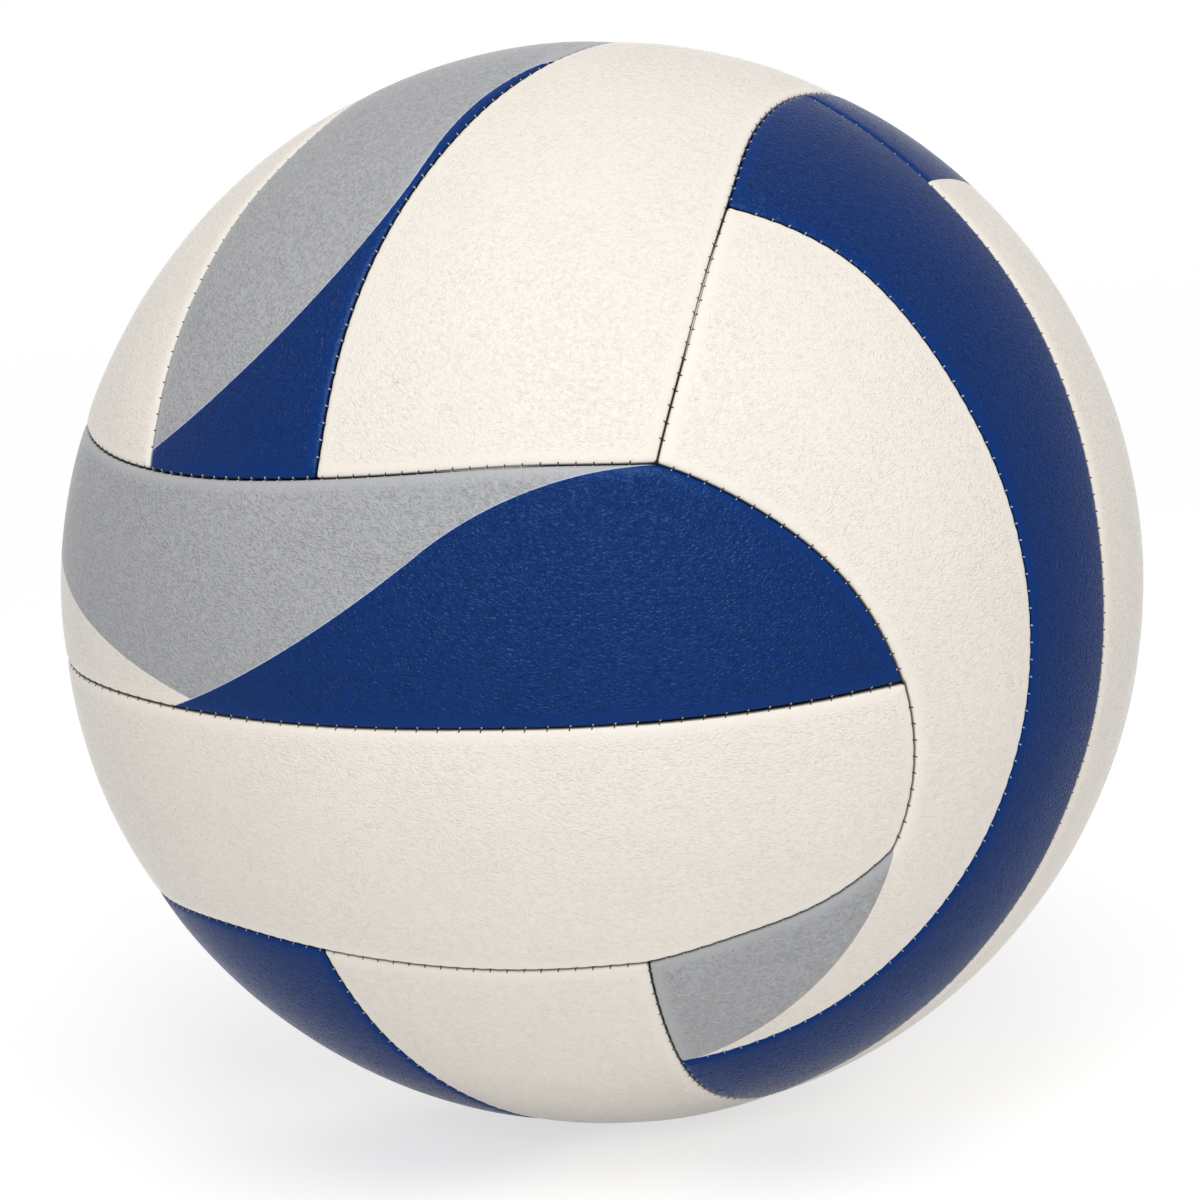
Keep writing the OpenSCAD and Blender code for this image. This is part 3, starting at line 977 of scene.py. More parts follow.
@dataclass
class Panel:
    """One panel of the cover, a closed shell of leather with its edges rolled and folded in.

    Rows of points lie at given depths from the edge, in millimetres. The creases' lengths are in stitches.
    """

    name: str
    zone: Zone
    design: Design
    roll_depth: float = 0.60 * MM
    roll_width: float = 1.3 * MM
    crown_depth: float = 0.40 * MM
    crown_width: float = 6.0 * MM
    pucker_depth: float = 0.12 * MM
    pucker_width: float = 0.9 * MM
    crease_depth: float = 0.03 * MM
    crease_place: float = 1.2 * MM
    crease_width: float = 1.6 * MM
    crease_lengths: tuple[float, ...] = (0.53, 0.72, 1.16)
    dent_depth: float = 0.05 * MM
    spacing: float = 0.6 * MM
    inner_spacing: float = 1.5 * MM
    rows: tuple[float, ...] = (0.05, 0.16, 0.34, 0.6, 0.95, 1.4, 1.95, 2.6, 3.5)
    under_spacing: float = 6.0 * MM
    under_rows: tuple[float, ...] = (1.15, 1.3)
    wall_t: float = 1.1 * MM
    wall_slope: float = 0.2 * MM
    skin_clear: float = 0.05 * MM
    hole: Circle | None = None
    hole_roll_depth: float = 0.55 * MM
    hole_roll_width: float = 0.9 * MM
    hole_crown_depth: float = 0.25 * MM
    hole_crown_width: float = 3.0 * MM
    hole_wall_t: float = 1.0 * MM
    hole_spacing: float = 0.4 * MM
    hole_rows: tuple[float, ...] = (0.08, 0.22, 0.45, 0.75, 1.1)
    hole_margin: float = 1.6 * MM
    seed_spacing: float = 5.0 * MM
    approach: float = 3.0 * MM
    near_edge: float = 0.2 * MM
    most_approaches: int = 60
    stride: float = 1.0 * MM
    first_strides: int = 5
    most_strides: int = 1500

    def trace(self) -> np.ndarray:
        """Walks from the panel's middle to its edge and once round it.

        Returns:
            The edge as a closed, even ring of directions.
        """
        seeds = lattice(self.seed_spacing)
        way = seeds[[int(np.argmax(self.zone.depth(seeds)))]]
        for _ in range(self.most_approaches):
            depth, rise = self.zone.probe(way)
            if depth[0] < EDGE + self.near_edge:
                break
            way = unit(way - unit(rise) * min(depth[0] - EDGE, self.approach) / BALL_R)
        way = self.zone.settle(way, EDGE, 5)
        ring: list[np.ndarray] = []
        # The first strides aren't kept, so the ring starts once the walk runs along the edge
        for count in range(self.most_strides):
            way = self.zone.settle(way, EDGE, 2)
            gap = np.linalg.norm(way[0] - ring[0]) * BALL_R if len(ring) > 8 else math.inf
            if gap < 0.8 * self.stride:
                break
            if count >= self.first_strides:
                ring.append(way[0])
            rise = self.zone.probe(way)[1]
            way = unit(way + unit(np.cross(way, rise)) * self.stride / BALL_R)
        loop = np.array(ring)
        for _ in range(3):
            loop = self.zone.settle(respaced(loop, self.spacing * COARSER), EDGE)
        return loop

    def sink(self, ways: np.ndarray) -> tuple[np.ndarray, np.ndarray]:
        """How far the leather lies below the ball's full radius.

        Args:
            ways: Directions on the panel.

        Returns:
            The sink and the distance from the edge, both in metres.
        """
        depth, run = self.zone.measure(ways)
        inward = np.maximum(depth - EDGE, 0)
        sink = rolled(inward, self.roll_width, self.roll_depth)
        sink = sink + self.crown_depth * np.exp(-inward / self.crown_width)
        pull = 0.5 + 0.5 * np.cos(2 * math.pi * run)
        reach = inward / self.pucker_width
        sink = sink + self.pucker_depth * pull * np.exp(-reach * reach) * (0.6 + 0.4 * reach)
        across = sum(np.sin(2 * math.pi * run / length + 5 * length) for length in self.crease_lengths)
        fading = np.exp(-((inward - self.crease_place) / self.crease_width) ** 2)
        crease = across * fading * (1 + WRINKLES.at(ways))
        sink = sink + self.crease_depth * (1 + crease / 2) + self.dent_depth * (1 + DENTS.at(ways))
        if self.hole is not None:
            rim = np.maximum(-self.hole.depth(ways), 0)
            sink = sink + rolled(rim, self.hole_roll_width, self.hole_roll_depth)
            sink = sink + self.hole_crown_depth * np.exp(-rim / self.hole_crown_width)
            inward = np.minimum(inward, rim)
        return sink, inward

    def _hole_ring(self, outside: float = 0.0) -> np.ndarray:
        """Lays a ring round the hole.

        Args:
            outside: Distance of the ring outside the hole's rim.

        Returns:
            Directions on the ring.
        """
        count = int(2 * math.pi * (self.hole.rim_r + outside) / self.hole_spacing)
        run = np.arange(count) / count * 2 * math.pi * self.hole.rim_r
        return self.hole.at(run, -outside)

    def _spread(self, rings: list[np.ndarray], rows: tuple[float, ...], spacing: float) -> np.ndarray:
        """Spreads points over the panel: the rings, rows inside them and an even net inside the last row.

        Args:
            rings: The panel's edge and the edge of its hole.
            rows: Depth of each row, in millimetres.
            spacing: Spacing of the net.

        Returns:
            The directions, those of the rings first.
        """
        sets = list(rings)
        outer = rings[0]
        last = 0.0
        for row in rows:
            step = max(self.spacing, 0.75 * (row * MM - last)) * COARSER
            outer = self.zone.settle(respaced(outer, step), EDGE + row * MM)
            sets.append(outer)
            last = row * MM
        net = lattice(spacing)
        keep = self.zone.depth(net) > EDGE + last + 0.6 * spacing
        if self.hole is not None:
            keep &= self.hole.depth(net) < -self.hole_margin
            sets += [self._hole_ring(row * MM) for row in self.hole_rows]
        sets.append(net[keep])
        return np.vstack(sets)

    def _sheet(self, ways: np.ndarray,
               rings: list[np.ndarray]) -> tuple[np.ndarray, list[tuple[int, ...]], list[list[int]]]:
        """Joins directions by triangles, bounded by the rings.

        Args:
            ways: Directions, those of the rings first.
            rings: The panel's edge and the edge of its hole.

        Returns:
            The directions in their new order, the faces, and each ring's places in that order.
        """
        middle = unit(ways.mean(0))
        first, second = crosswise(middle)
        # The panel is laid flat, seen from the point of the ball opposite its middle
        scale = 2 * BALL_R / MM
        flat = np.stack([ways @ first, ways @ second], -1) / (1 + ways @ middle)[:, None] * scale
        starts = [0, *np.cumsum([len(ring) for ring in rings]).tolist()]
        spans = [list(range(start, end)) for start, end in zip(starts, starts[1:])]
        edges = [pair for span in spans for pair in zip(span, span[1:] + span[:1])]
        made = geometry.delaunay_2d_cdt([Vector(p) for p in flat], edges, [], 1, 1e-5, True)
        spots, faces, sources = np.array([v[:] for v in made[0]]), made[2], made[3]
        found = {source: k for k, several in enumerate(sources) for source in several}
        # And back onto the ball
        spots = spots / scale
        size = (spots ** 2).sum(1, keepdims=True)
        back = (2 * spots[:, :1] * first + 2 * spots[:, 1:] * second + (1 - size) * middle) / (1 + size)
        # The flat triangles fill the outline's bays as well, so only those inside the rings are kept
        walls = {frozenset((found[one], found[two])) for one, two in edges}
        centres = unit(np.array([back[list(f)].mean(0) for f in faces]))
        depths = self.zone.depth(centres)
        if self.hole is not None:
            depths = np.minimum(depths, -self.hole.depth(centres))
        faces = self._within(faces, walls, int(depths.argmax()))
        used = sorted({v for f in [*faces, *walls] for v in f})
        order = {old: new for new, old in enumerate(used)}
        faces = [tuple(order[v] for v in f) for f in faces]
        loops = [[order[found[place]] for place in span] for span in spans]
        return back[used], faces, loops

    @staticmethod
    def _within(faces: list[tuple[int, ...]], walls: set[frozenset[int]],
                seed: int) -> list[tuple[int, ...]]:
        """Faces that can be reached from one face without crossing the walls.

        Args:
            faces: All faces.
            walls: Pairs of corners whose edge can't be crossed.
            seed: Place of the first face.

        Returns:
            The faces that were reached.
        """
        owners: dict[frozenset[int], list[int]] = {}
        edges = [[frozenset(pair) for pair in zip(f, [*f[1:], f[0]])] for f in faces]
        for number, around in enumerate(edges):
            for edge in around:
                owners.setdefault(edge, []).append(number)
        reached, waiting = {seed}, [seed]
        while waiting:
            for edge in edges[waiting.pop()]:
                fresh = [] if edge in walls else [k for k in owners[edge] if k not in reached]
                reached.update(fresh)
                waiting.extend(fresh)
        return [faces[k] for k in sorted(reached)]

    def mesh(self) -> bpy.types.Mesh:
        """Builds the shell: a rolled and crowned face, a folded wall and an underside.

        Returns:
            The closed mesh, with each point's distance from the edge.
        """
        rings = [self.trace()]
        if self.hole is not None:
            rings.append(self._hole_ring())
        spread = self._spread(rings, self.rows, self.inner_spacing * COARSER)
        face_ways, face, face_loops = self._sheet(spread, rings)
        sink, inward = self.sink(face_ways)
        spread = self._spread(rings, self.under_rows, self.under_spacing)
        under_ways, under, under_loops = self._sheet(spread, rings)
        fold = self._fold(under_ways)
        points = np.vstack([face_ways * (BALL_R - sink)[:, None], under_ways * (BALL_R - fold)[:, None]])
        shift = len(face_ways)
        faces = list(face) + [tuple(v + shift for v in reversed(f)) for f in under]
        for upper, lower in zip(face_loops, under_loops):
            sides = zip(upper, lower, lower[1:] + lower[:1], upper[1:] + upper[:1])
            faces += [(here, below + shift, beside + shift, there) for here, below, beside, there in sides]
        mesh = mesh_of(self.name + "_leather", points, faces)
        face_outward(mesh)
        edge = mesh.attributes.new(EDGE_DISTANCE, "FLOAT", "POINT")
        distances = np.concatenate([inward, np.zeros(len(under_ways))])
        edge.data.foreach_set("value", distances.astype(np.float32))
        return mesh

    def _fold(self, ways: np.ndarray) -> np.ndarray:
        """Finds how deep the underside lies, deep under the folded edge and just under the skin elsewhere.

        Args:
            ways: Directions of the underside.

        Returns:
            How far each lies below the ball's full radius. Round the hole it is the skin's depth.
        """
        inward = self.zone.depth(ways) - EDGE
        if self.hole is not None:
            inward[self.hole.depth(ways) > -self.hole_wall_t] = self.wall_t + 2 * self.wall_slope
        share = np.clip((inward - self.wall_t) / self.wall_slope, 0, 1)
        return FOLD_DEPTH + (SKIN_T + self.skin_clear - FOLD_DEPTH) * share

    def build(self, leather: Leather) -> bpy.types.Object:
        """Makes the panel's piece, dressed and in its place.

        Args:
            leather: The finish.

        Returns:
            The piece.
        """
        material = leather.material(self.name + "_leather", self.design)
        mesh = self.mesh()
        made = linked(self.name + "_leather", mesh, material)
        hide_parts(self.name + "_skin")
        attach(made, ROOT)
        return made


@dataclass(frozen=True)
class Thread:
    """Waxed twisted thread."""

    colour: tuple[float, float, float]
    roughness: float = 0.6
    strand_scale: float = 5200.0
    strand_depth: float = 0.06 * MM

    def material(self, name: str) -> bpy.types.Material:
        """Makes thread with a fine twist and a little fuzz.

        Args:
            name: Name of the material.

        Returns:
            The material.
        """
        graph = Graph.named(name)
        strands = graph.clouds(graph.place(), self.strand_scale, 3.0, 0.7)
        colour = graph.shaded(graph.plain(self.colour), 0.7 + strands * 0.6)
        normal = graph.bump(strands, 0.6, self.strand_depth)
        return graph.finish(graph.principled(colour, self.roughness + strands * 0.2, normal))


@dataclass
class Stitches:
    """The thread at the bottom of every seam and its short stitches over the panels' edges.

    A stitch's lift is the height of its five points over the leather, in millimetres.
    """

    panels: list[Panel]
    runs: list[SeamRun]
    thread_r: float = 0.25 * MM
    tick_r: float = 0.13 * MM
    reach: float = 0.55 * MM
    white_share: float = 0.8
    colour_share: float = 0.65
    slant: float = 0.35
    lift: tuple[float, ...] = (-0.8, -0.02, 0.05, 0.02, -0.2)
    lip: float = 0.10 * MM
    dip: float = 0.085 * MM
    tone_aside: float = 1.2 * MM
    corner: float = 2.2 * MM
    cord_stop: float = 3.0 * MM
    cord_depth: float = 3.65 * MM
    cord_step: float = 1.2 * MM
    cord_sides: int = 8
    tick_sides: int = 6

    def ticks(self) -> tuple[list[np.ndarray], list[np.ndarray]]:
        """Lays the stitches on both sides of every seam.

        Returns:
            Centre lines of the stitches on white leather, and of those on coloured leather.
        """
        dark, light = [], []
        rng = np.random.default_rng(5)
        for run in self.runs:
            begin, end = run.span()
            pitch = run.circle.pitch
            first = math.ceil((begin + self.corner) / pitch)
            last = math.floor((end - self.corner) / pitch)
            marks = np.arange(first, last + 1) * pitch
            for side in (1.0, -1.0):
                length = self.reach * rng.uniform(0.8, 1.2, len(marks))
                tones = self._tones(run.circle.at(marks, side * self.tone_aside))
                for mark, far, tone in zip(marks, length, tones):
                    if tone is Tone.WHITE:
                        dark.append(self._tick(run.circle, mark, side, far * self.white_share))
                    else:
                        light.append(self._tick(run.circle, mark, side, far * self.colour_share))
        return dark, light

    def _tones(self, ways: np.ndarray) -> list[Tone]:
        """Looks up the leather's tones.

        Args:
            ways: Directions on the ball.

        Returns:
            The tone at each direction.
        """
        depths = np.stack([panel.zone.depth(ways) for panel in self.panels])
        owners = depths.argmax(0)
        return [self.panels[o].design.tone_at(ways[[k]])[0] for k, o in enumerate(owners)]

    def _tick(self, circle: Circle, mark: float, side: float, length: float) -> np.ndarray:
        """Draws half a stitch, from inside the seam over a panel's edge and into it.

        Args:
            circle: The seam's circle.
            mark: Run of the stitch along the circle.
            side: 1 for the panel inside the circle, -1 for the one outside.
            length: How far the stitch reaches over the panel.

        Returns:
            Its centre line.
        """
        sample = self.panels[0]
        aside = EDGE + np.array([-0.7 * EDGE, self.lip, 0.35 * length, 0.75 * length, length])
        inward = np.maximum(aside - EDGE, 0)
        pucker = sample.pucker_depth * np.exp(-(inward / sample.pucker_width) ** 2)
        sink = rolled(inward, sample.roll_width, sample.roll_depth) + sample.crown_depth
        sink = sink + self.dip + 0.8 * pucker
        ways = circle.at(mark + self.slant * side * aside, side * aside)
        return ways * (BALL_R - sink + np.array(self.lift) * MM)[:, None]

    def cords(self) -> list[np.ndarray]:
        """Lays the thread at the bottom of the seams.

        Returns:
            One centre line for each seam.
        """
        lines = []
        for run in self.runs:
            begin, end = run.span()
            count = max(3, int((end - begin) / self.cord_step))
            marks = np.linspace(begin + self.cord_stop, end - self.cord_stop, count)
            lines.append(run.circle.at(marks, 0.0) * (BALL_R - self.cord_depth))
        return lines

    @staticmethod
    def tube(lines: list[np.ndarray], radius: float, sides: int, name: str) -> bpy.types.Mesh:
        """Closed round tubes along centre lines.

        Args:
            lines: Centre lines, as rows of points.
            radius: Radius of the tube.
            sides: Number of sides of its section.
            name: Name of the mesh.

        Returns:
            The mesh.
        """
        points, faces, start = [], [], 0
        turn = np.arange(sides) / sides * 2 * math.pi
        for line in lines:
            ahead = unit(np.gradient(line, axis=0))
            outward = unit(line)
            across = unit(np.cross(ahead, outward))
            upward = np.cross(across, ahead)
            ring = np.cos(turn)[None, :, None] * across[:, None]
            ring = ring + np.sin(turn)[None, :, None] * upward[:, None]
            points.append((line[:, None] + radius * ring).reshape(-1, 3))
            for base in range(start, start + (len(line) - 1) * sides, sides):
                around = [(base + j, base + (j + 1) % sides) for j in range(sides)]
                faces += [(here, there, there + sides, here + sides) for here, there in around]
            final = start + (len(line) - 1) * sides
            faces.append(tuple(start + j for j in reversed(range(sides))))
            faces.append(tuple(final + j for j in range(sides)))
            start += len(line) * sides
        return mesh_of(name, np.vstack(points), faces)

    def build(self) -> list[bpy.types.Object]:
        """Makes the stitches' pieces, dressed and in place.

        Returns:
            The pieces.
        """
        dark, light = self.ticks()
        cord = self.tube(self.cords(), self.thread_r, self.cord_sides, "seam_cords")
        on_white = self.tube(dark, self.tick_r, self.tick_sides, "stitches_on_white")
        on_colour = self.tube(light, self.tick_r, self.tick_sides, "stitches_on_colour")
        made = [
            # The cord is seam thread, but its near-black colour is painted shade that darkens the groove
            linked("seam_cords", cord, Thread((0.09, 0.085, 0.08)).material("seam_cord_groove_shade")),
            # Near black on white leather is painted shade of the stitch holes; the thread itself is pale
            linked("stitches_on_white", on_white, Thread((0.05, 0.05, 0.055)).material("stitch_hole_shade")),
            linked("stitches_on_colour", on_colour, Thread((0.50, 0.50, 0.50)).material("thread_light")),
        ]
        for piece in made:
            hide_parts("seam_thread")
            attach(piece, ROOT)
        return made


@dataclass(frozen=True)
class Rubber:
    """Moulded or dipped rubber."""

    colour: tuple[float, float, float]
    roughness: float = 0.55
    pitting: float = 0.05 * MM
    scale: float = 900.0

    def material(self, name: str) -> bpy.types.Material:
        """Makes rubber with fine pitting, dust and uneven gloss.

        Args:
            name: Name of the material.

        Returns:
            The material.
        """
        graph = Graph.named(name)
        place = graph.place()
        pits = graph.clouds(place, self.scale, 4.0, 0.6)
        dust = graph.clouds(place, 0.05 * self.scale, 3.0, 0.6).ramp(0.35, 0.8)
        pale = tuple(0.8 * c + 0.06 for c in self.colour)
        colour = graph.blend(dust * 0.6, (*self.colour, 1.0), (*pale, 1.0))
        colour = graph.shaded(colour, 0.85 + pits * 0.3)
        rough = self.roughness + dust * 0.15 + pits * 0.08
        return graph.finish(graph.principled(colour, rough, graph.bump(pits, 0.5, self.pitting)))


@dataclass(frozen=True)
class FoamSheet:
    """Closed-cell foam with a fine skin of cells."""

    colour: tuple[float, float, float] = (0.80, 0.78, 0.72)
    cell: float = 0.5 * MM
    cell_depth: float = 0.12 * MM

    def material(self, name: str) -> bpy.types.Material:
        """Makes foam: packed round cells in a matt sheet.

        Args:
            name: Name of the material.

        Returns:
            The material.
        """
        graph = Graph.named(name)
        place = graph.place()
        cells = graph.cells(place, 1 / self.cell)
        tone = graph.clouds(place, 90.0, 3.0)
        deep = tuple(0.72 * c for c in self.colour)
        colour = graph.blend(cells.ramp(0.25, 0.9), (*self.colour, 1.0), (*deep, 1.0))
        colour = graph.shaded(colour, 0.93 + tone * 0.12)
        normal = graph.bump(cells, 0.7, self.cell_depth)
        return graph.finish(graph.principled(colour, 0.85 + tone * 0.1, normal))


@dataclass(frozen=True)
class LiningCloth:
    """Plain woven backing cloth."""

    colour: tuple[float, float, float] = (0.70, 0.66, 0.57)
    yarn: float = 0.45 * MM
    yarn_depth: float = 0.12 * MM

    def material(self, name: str) -> bpy.types.Material:
        """Makes cloth: sets of uneven yarns, one over the other.

        Args:
            name: Name of the material.

        Returns:
            The material.
        """
        graph = Graph.named(name)
        place = graph.place()
        scale = 0.314 / self.yarn
        sockets = {"Vector": place, "Scale": scale, "Distortion": 0.6, "Detail": 1.0, "Detail Scale": 2.0}
        yarns = []
        for direction in ("X", "Y", "Z"):
            settings = {"wave_type": "BANDS", "wave_profile": "SIN", "bands_direction": direction}
            yarns.append(graph.node("ShaderNodeTexWave", settings, sockets, "Fac"))
        weave = yarns[0] * yarns[1] + yarns[1] * yarns[2] + yarns[2] * yarns[0]
        slub = graph.clouds(place, 300.0, 3.0, 0.6)
        deep = tuple(0.6 * c for c in self.colour)
        colour = graph.blend(weave.ramp(0.1, 1.6), (*deep, 1.0), (*self.colour, 1.0))
        colour = graph.shaded(colour, 0.85 + slub * 0.3)
        normal = graph.bump(weave + slub * 0.4, 0.8, self.yarn_depth)
        return graph.finish(graph.principled(colour, 0.82 + slub * 0.12, normal))


@dataclass
class Valve:
    """The rubber valve in the back panel: a housing with a flange and a stem, and the core inside it.

    Rounded edges are points in millimetres: outward from a radius, and up from a height.
    """

    head_y: float = BALL_R - 0.4 * MM
    head_r: float = 4.0 * MM
    neck_round: float = 0.35 * MM
    flange_y: float = 99.0 * MM
    flange_r: float = 12.0 * MM
    flange_t: float = 1.0 * MM
    flange_lip: float = 0.4 * MM
    stem_r: float = 6.0 * MM
    stem_len: float = 16.0 * MM
    stem_collar: float = 0.7 * MM
    groove_count: int = 4
    groove_pitch: float = 3.1 * MM
    core_r: float = 2.5 * MM
    core_len: float = 16.0 * MM
    bore_r: float = 1.0 * MM
    bore_len: float = 13.0 * MM
    bore_tip: float = 0.3 * MM
    gap: float = 0.1 * MM
    socket_foot: Edge = ((-0.5, 0.0), (0.0, 0.5))
    socket_mouth: Edge = ((0.0, -0.55), (0.12, -0.2), (0.35, -0.03), (0.55, 0.0))
    head_edge: Edge = ((-0.7, 0.0), (-0.45, -0.03), (-0.2, -0.14), (-0.06, -0.32), (0.0, -0.6), (0.0, -2.0))
    flange_edge: Edge = ((-0.12, -0.08), (0.0, -0.4), (-0.12, -0.85))
    groove: Edge = ((0.0, 0.5), (-0.25, 0.3), (-0.25, -0.3), (0.0, -0.5))
    stem_foot: Edge = ((0.0, 0.8), (-0.25, 0.25), (-0.8, 0.0))
    bore_foot: Edge = ((-0.4, -0.2), (0.0, 0.0))
    bore_mouth: Edge = ((0.0, -1.1), (0.04, -0.8), (0.2, -0.5), (0.5, -0.28), (0.8, -0.22))
    core_edge: Edge = ((-0.4, -0.2), (-0.15, -0.27), (-0.03, -0.45), (0.0, -0.7))
    core_foot: Edge = ((0.0, 0.6), (-0.2, 0.15), (-0.6, 0.0))

    @staticmethod
    def lathe(name: str, profile: list[tuple[float, float]], sides: int = 96) -> bpy.types.Mesh:
        """Turns a closed profile about the valve's axis.

        Args:
            name: Name of the mesh.
            profile: Points as radius and distance along +Y, both in metres; radius 0 closes an end.
            sides: Number of sides.

        Returns:
            The mesh.
        """
        turn = np.arange(sides) / sides * 2 * math.pi
        points, rows = [], []
        for radius, along in profile:
            if radius <= 1e-9:
                rows.append([len(points)] * sides)
                points.append((0.0, along, 0.0))
                continue
            rows.append([len(points) + k for k in range(sides)])
            points += [(radius * math.cos(t), along, radius * math.sin(t)) for t in turn]
        faces = []
        for one, two in zip(rows, rows[1:] + rows[:1]):
            for k in range(sides):
                j = (k + 1) % sides
                ring = [one[k], one[j], two[j], two[k]]
                kept = [v for i, v in enumerate(ring) if v not in ring[:i]]
                if len(kept) > 2:
                    faces.append(tuple(kept))
        mesh = mesh_of(name, np.array(points), faces)
        face_outward(mesh)
        return mesh

    @staticmethod
    def _dome(ball: float, start: float, end: float, steps: int = 10) -> list[tuple[float, float]]:
        """Points of a profile along a sphere round the ball's centre, from one radius to another."""
        radii = [start + (end - start) * step / steps for step in range(steps + 1)]
        return [(radius, math.sqrt(ball * ball - radius * radius)) for radius in radii]

    @staticmethod
    def _edge(radius: float, along: float, points: Edge) -> list[tuple[float, float]]:
        """Points of a profile along a rounded edge, from a radius and a height."""
        return [(radius + out * MM, along + up * MM) for out, up in points]

    def housing(self) -> bpy.types.Mesh:
        """Turns the head, the neck, the flange and the hollow stem that holds the core.

        Returns:
            The mesh.
        """
        socket_r = self.core_r + self.gap
        socket_foot = self.head_y - self.core_len - self.gap
        under_y = self.flange_y - self.flange_t
        foot = under_y - self.stem_len
        rim = math.sqrt(self.flange_y ** 2 - self.flange_r ** 2)
        lip_r = self.flange_r - self.flange_lip
        stem_top = under_y - self.stem_collar
        profile = [(0.0, socket_foot)]
        profile += self._edge(socket_r, socket_foot, self.socket_foot)
        profile += self._edge(socket_r, self.head_y, self.socket_mouth)
        profile += self._edge(self.head_r, self.head_y, self.head_edge)
        profile += [(self.head_r, self.flange_y + self.neck_round)]
        profile += self._dome(self.flange_y, self.head_r + self.neck_round, lip_r)
        profile += self._edge(self.flange_r, rim, self.flange_edge)
        profile += self._dome(under_y, self.stem_r + self.flange_lip, lip_r)[::-1]
        profile += [(self.stem_r, stem_top)]
        for number in range(1, self.groove_count + 1):
            profile += self._edge(self.stem_r, stem_top - number * self.groove_pitch, self.groove)
        profile += self._edge(self.stem_r, foot, self.stem_foot)
        profile += [(0.0, foot)]
        return self.lathe("valve_housing_rubber", profile)

    def core(self) -> bpy.types.Mesh:
        """Turns the plug, with a funnel that leads into the needle's channel.

        Returns:
            The mesh.
        """
        foot = self.head_y - self.core_len
        floor = self.head_y - self.bore_len
        profile = [(0.0, floor - self.bore_tip)]
        profile += self._edge(self.bore_r, floor, self.bore_foot)
        profile += self._edge(self.bore_r, self.head_y, self.bore_mouth)
        profile += self._edge(self.core_r, self.head_y, self.core_edge)
        profile += self._edge(self.core_r, foot, self.core_foot)
        profile += [(0.0, foot)]
        return self.lathe("valve_core_rubber", profile)

    def build(self) -> list[bpy.types.Object]:
        """Makes the valve's pieces, dressed and in place.

        Returns:
            The housing and the core.
        """
        black = Rubber((0.022, 0.022, 0.024), 0.48).material("valve_rubber")
        soft = Rubber((0.075, 0.075, 0.08), 0.55).material("core_rubber")
        housing = linked("valve_housing_rubber", self.housing(), black)
        core = linked("valve_core_rubber", self.core(), soft)
        rows = ((housing, "valve_housing", "valve_rubber"), (core, "valve_core", "core_rubber"))
        for piece, node, slot in rows:
            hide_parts(node)
            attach(piece, ROOT)
        return [housing, core]


@dataclass
class Cover:
    """All leather panels of the ball."""

    plan: SeamPlan = SeamPlan()
    leather: Leather = Leather()
    valve_hole: Circle = Circle(180, 0, math.degrees(VALVE_HOLE_R / BALL_R))

    def panels(self) -> list[Panel]:
        """Lays out the panels.

        Returns:
            The panels in the plan's order, the one with the valve with its hole.
        """
        holes = {"back_mid": self.valve_hole}
        zones = self.plan.zones()
        return [Panel(name, zone, DESIGNS[name], hole=holes.get(name)) for name, zone in zones.items()]


@dataclass
class Inside:
    """The layers under the cover, which keep their CAD shapes."""

    foam: FoamSheet = FoamSheet()
    cloth: LiningCloth = LiningCloth()
    bladder: Rubber = Rubber((0.028, 0.028, 0.030), 0.42, 0.04 * MM, 500.0)
    patch: Rubber = Rubber((0.035, 0.034, 0.034), 0.6, 0.07 * MM, 1100.0)

    def dress(self) -> None:
        """Gives each hidden CAD node its material, by the last word of its name."""
        finishes = {
            "foam": self.foam.material("foam_pad"),
            "lining": self.cloth.material("lining_cloth"),
            "bladder": self.bladder.material("bladder_rubber"),
            "patch": self.patch.material("patch_rubber"),
        }
        for name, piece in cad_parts.items():
            layer = name.rsplit("_", 1)[-1]
            if layer in finishes:
                self._assign(piece, finishes[layer])

    @staticmethod
    def _assign(piece: bpy.types.Object, material: bpy.types.Material) -> None:
        """Puts a material in every slot of a CAD piece.

        Args:
            piece: The piece.
            material: The material.
        """
        if not piece.material_slots:
            piece.data.materials.append(material)
        for slot in piece.material_slots:
            slot.material = material


@dataclass(frozen=True)
class Lamp:
    """A soft square lamp that faces the ball.

    It hangs in a direction given by shares of the camera's axes. Its power is in watts.
    """

    name: str
    back: float
    up: float
    right: float
    size: float
    power: float
    colour: tuple[float, float, float]
    distance: float = 1.5


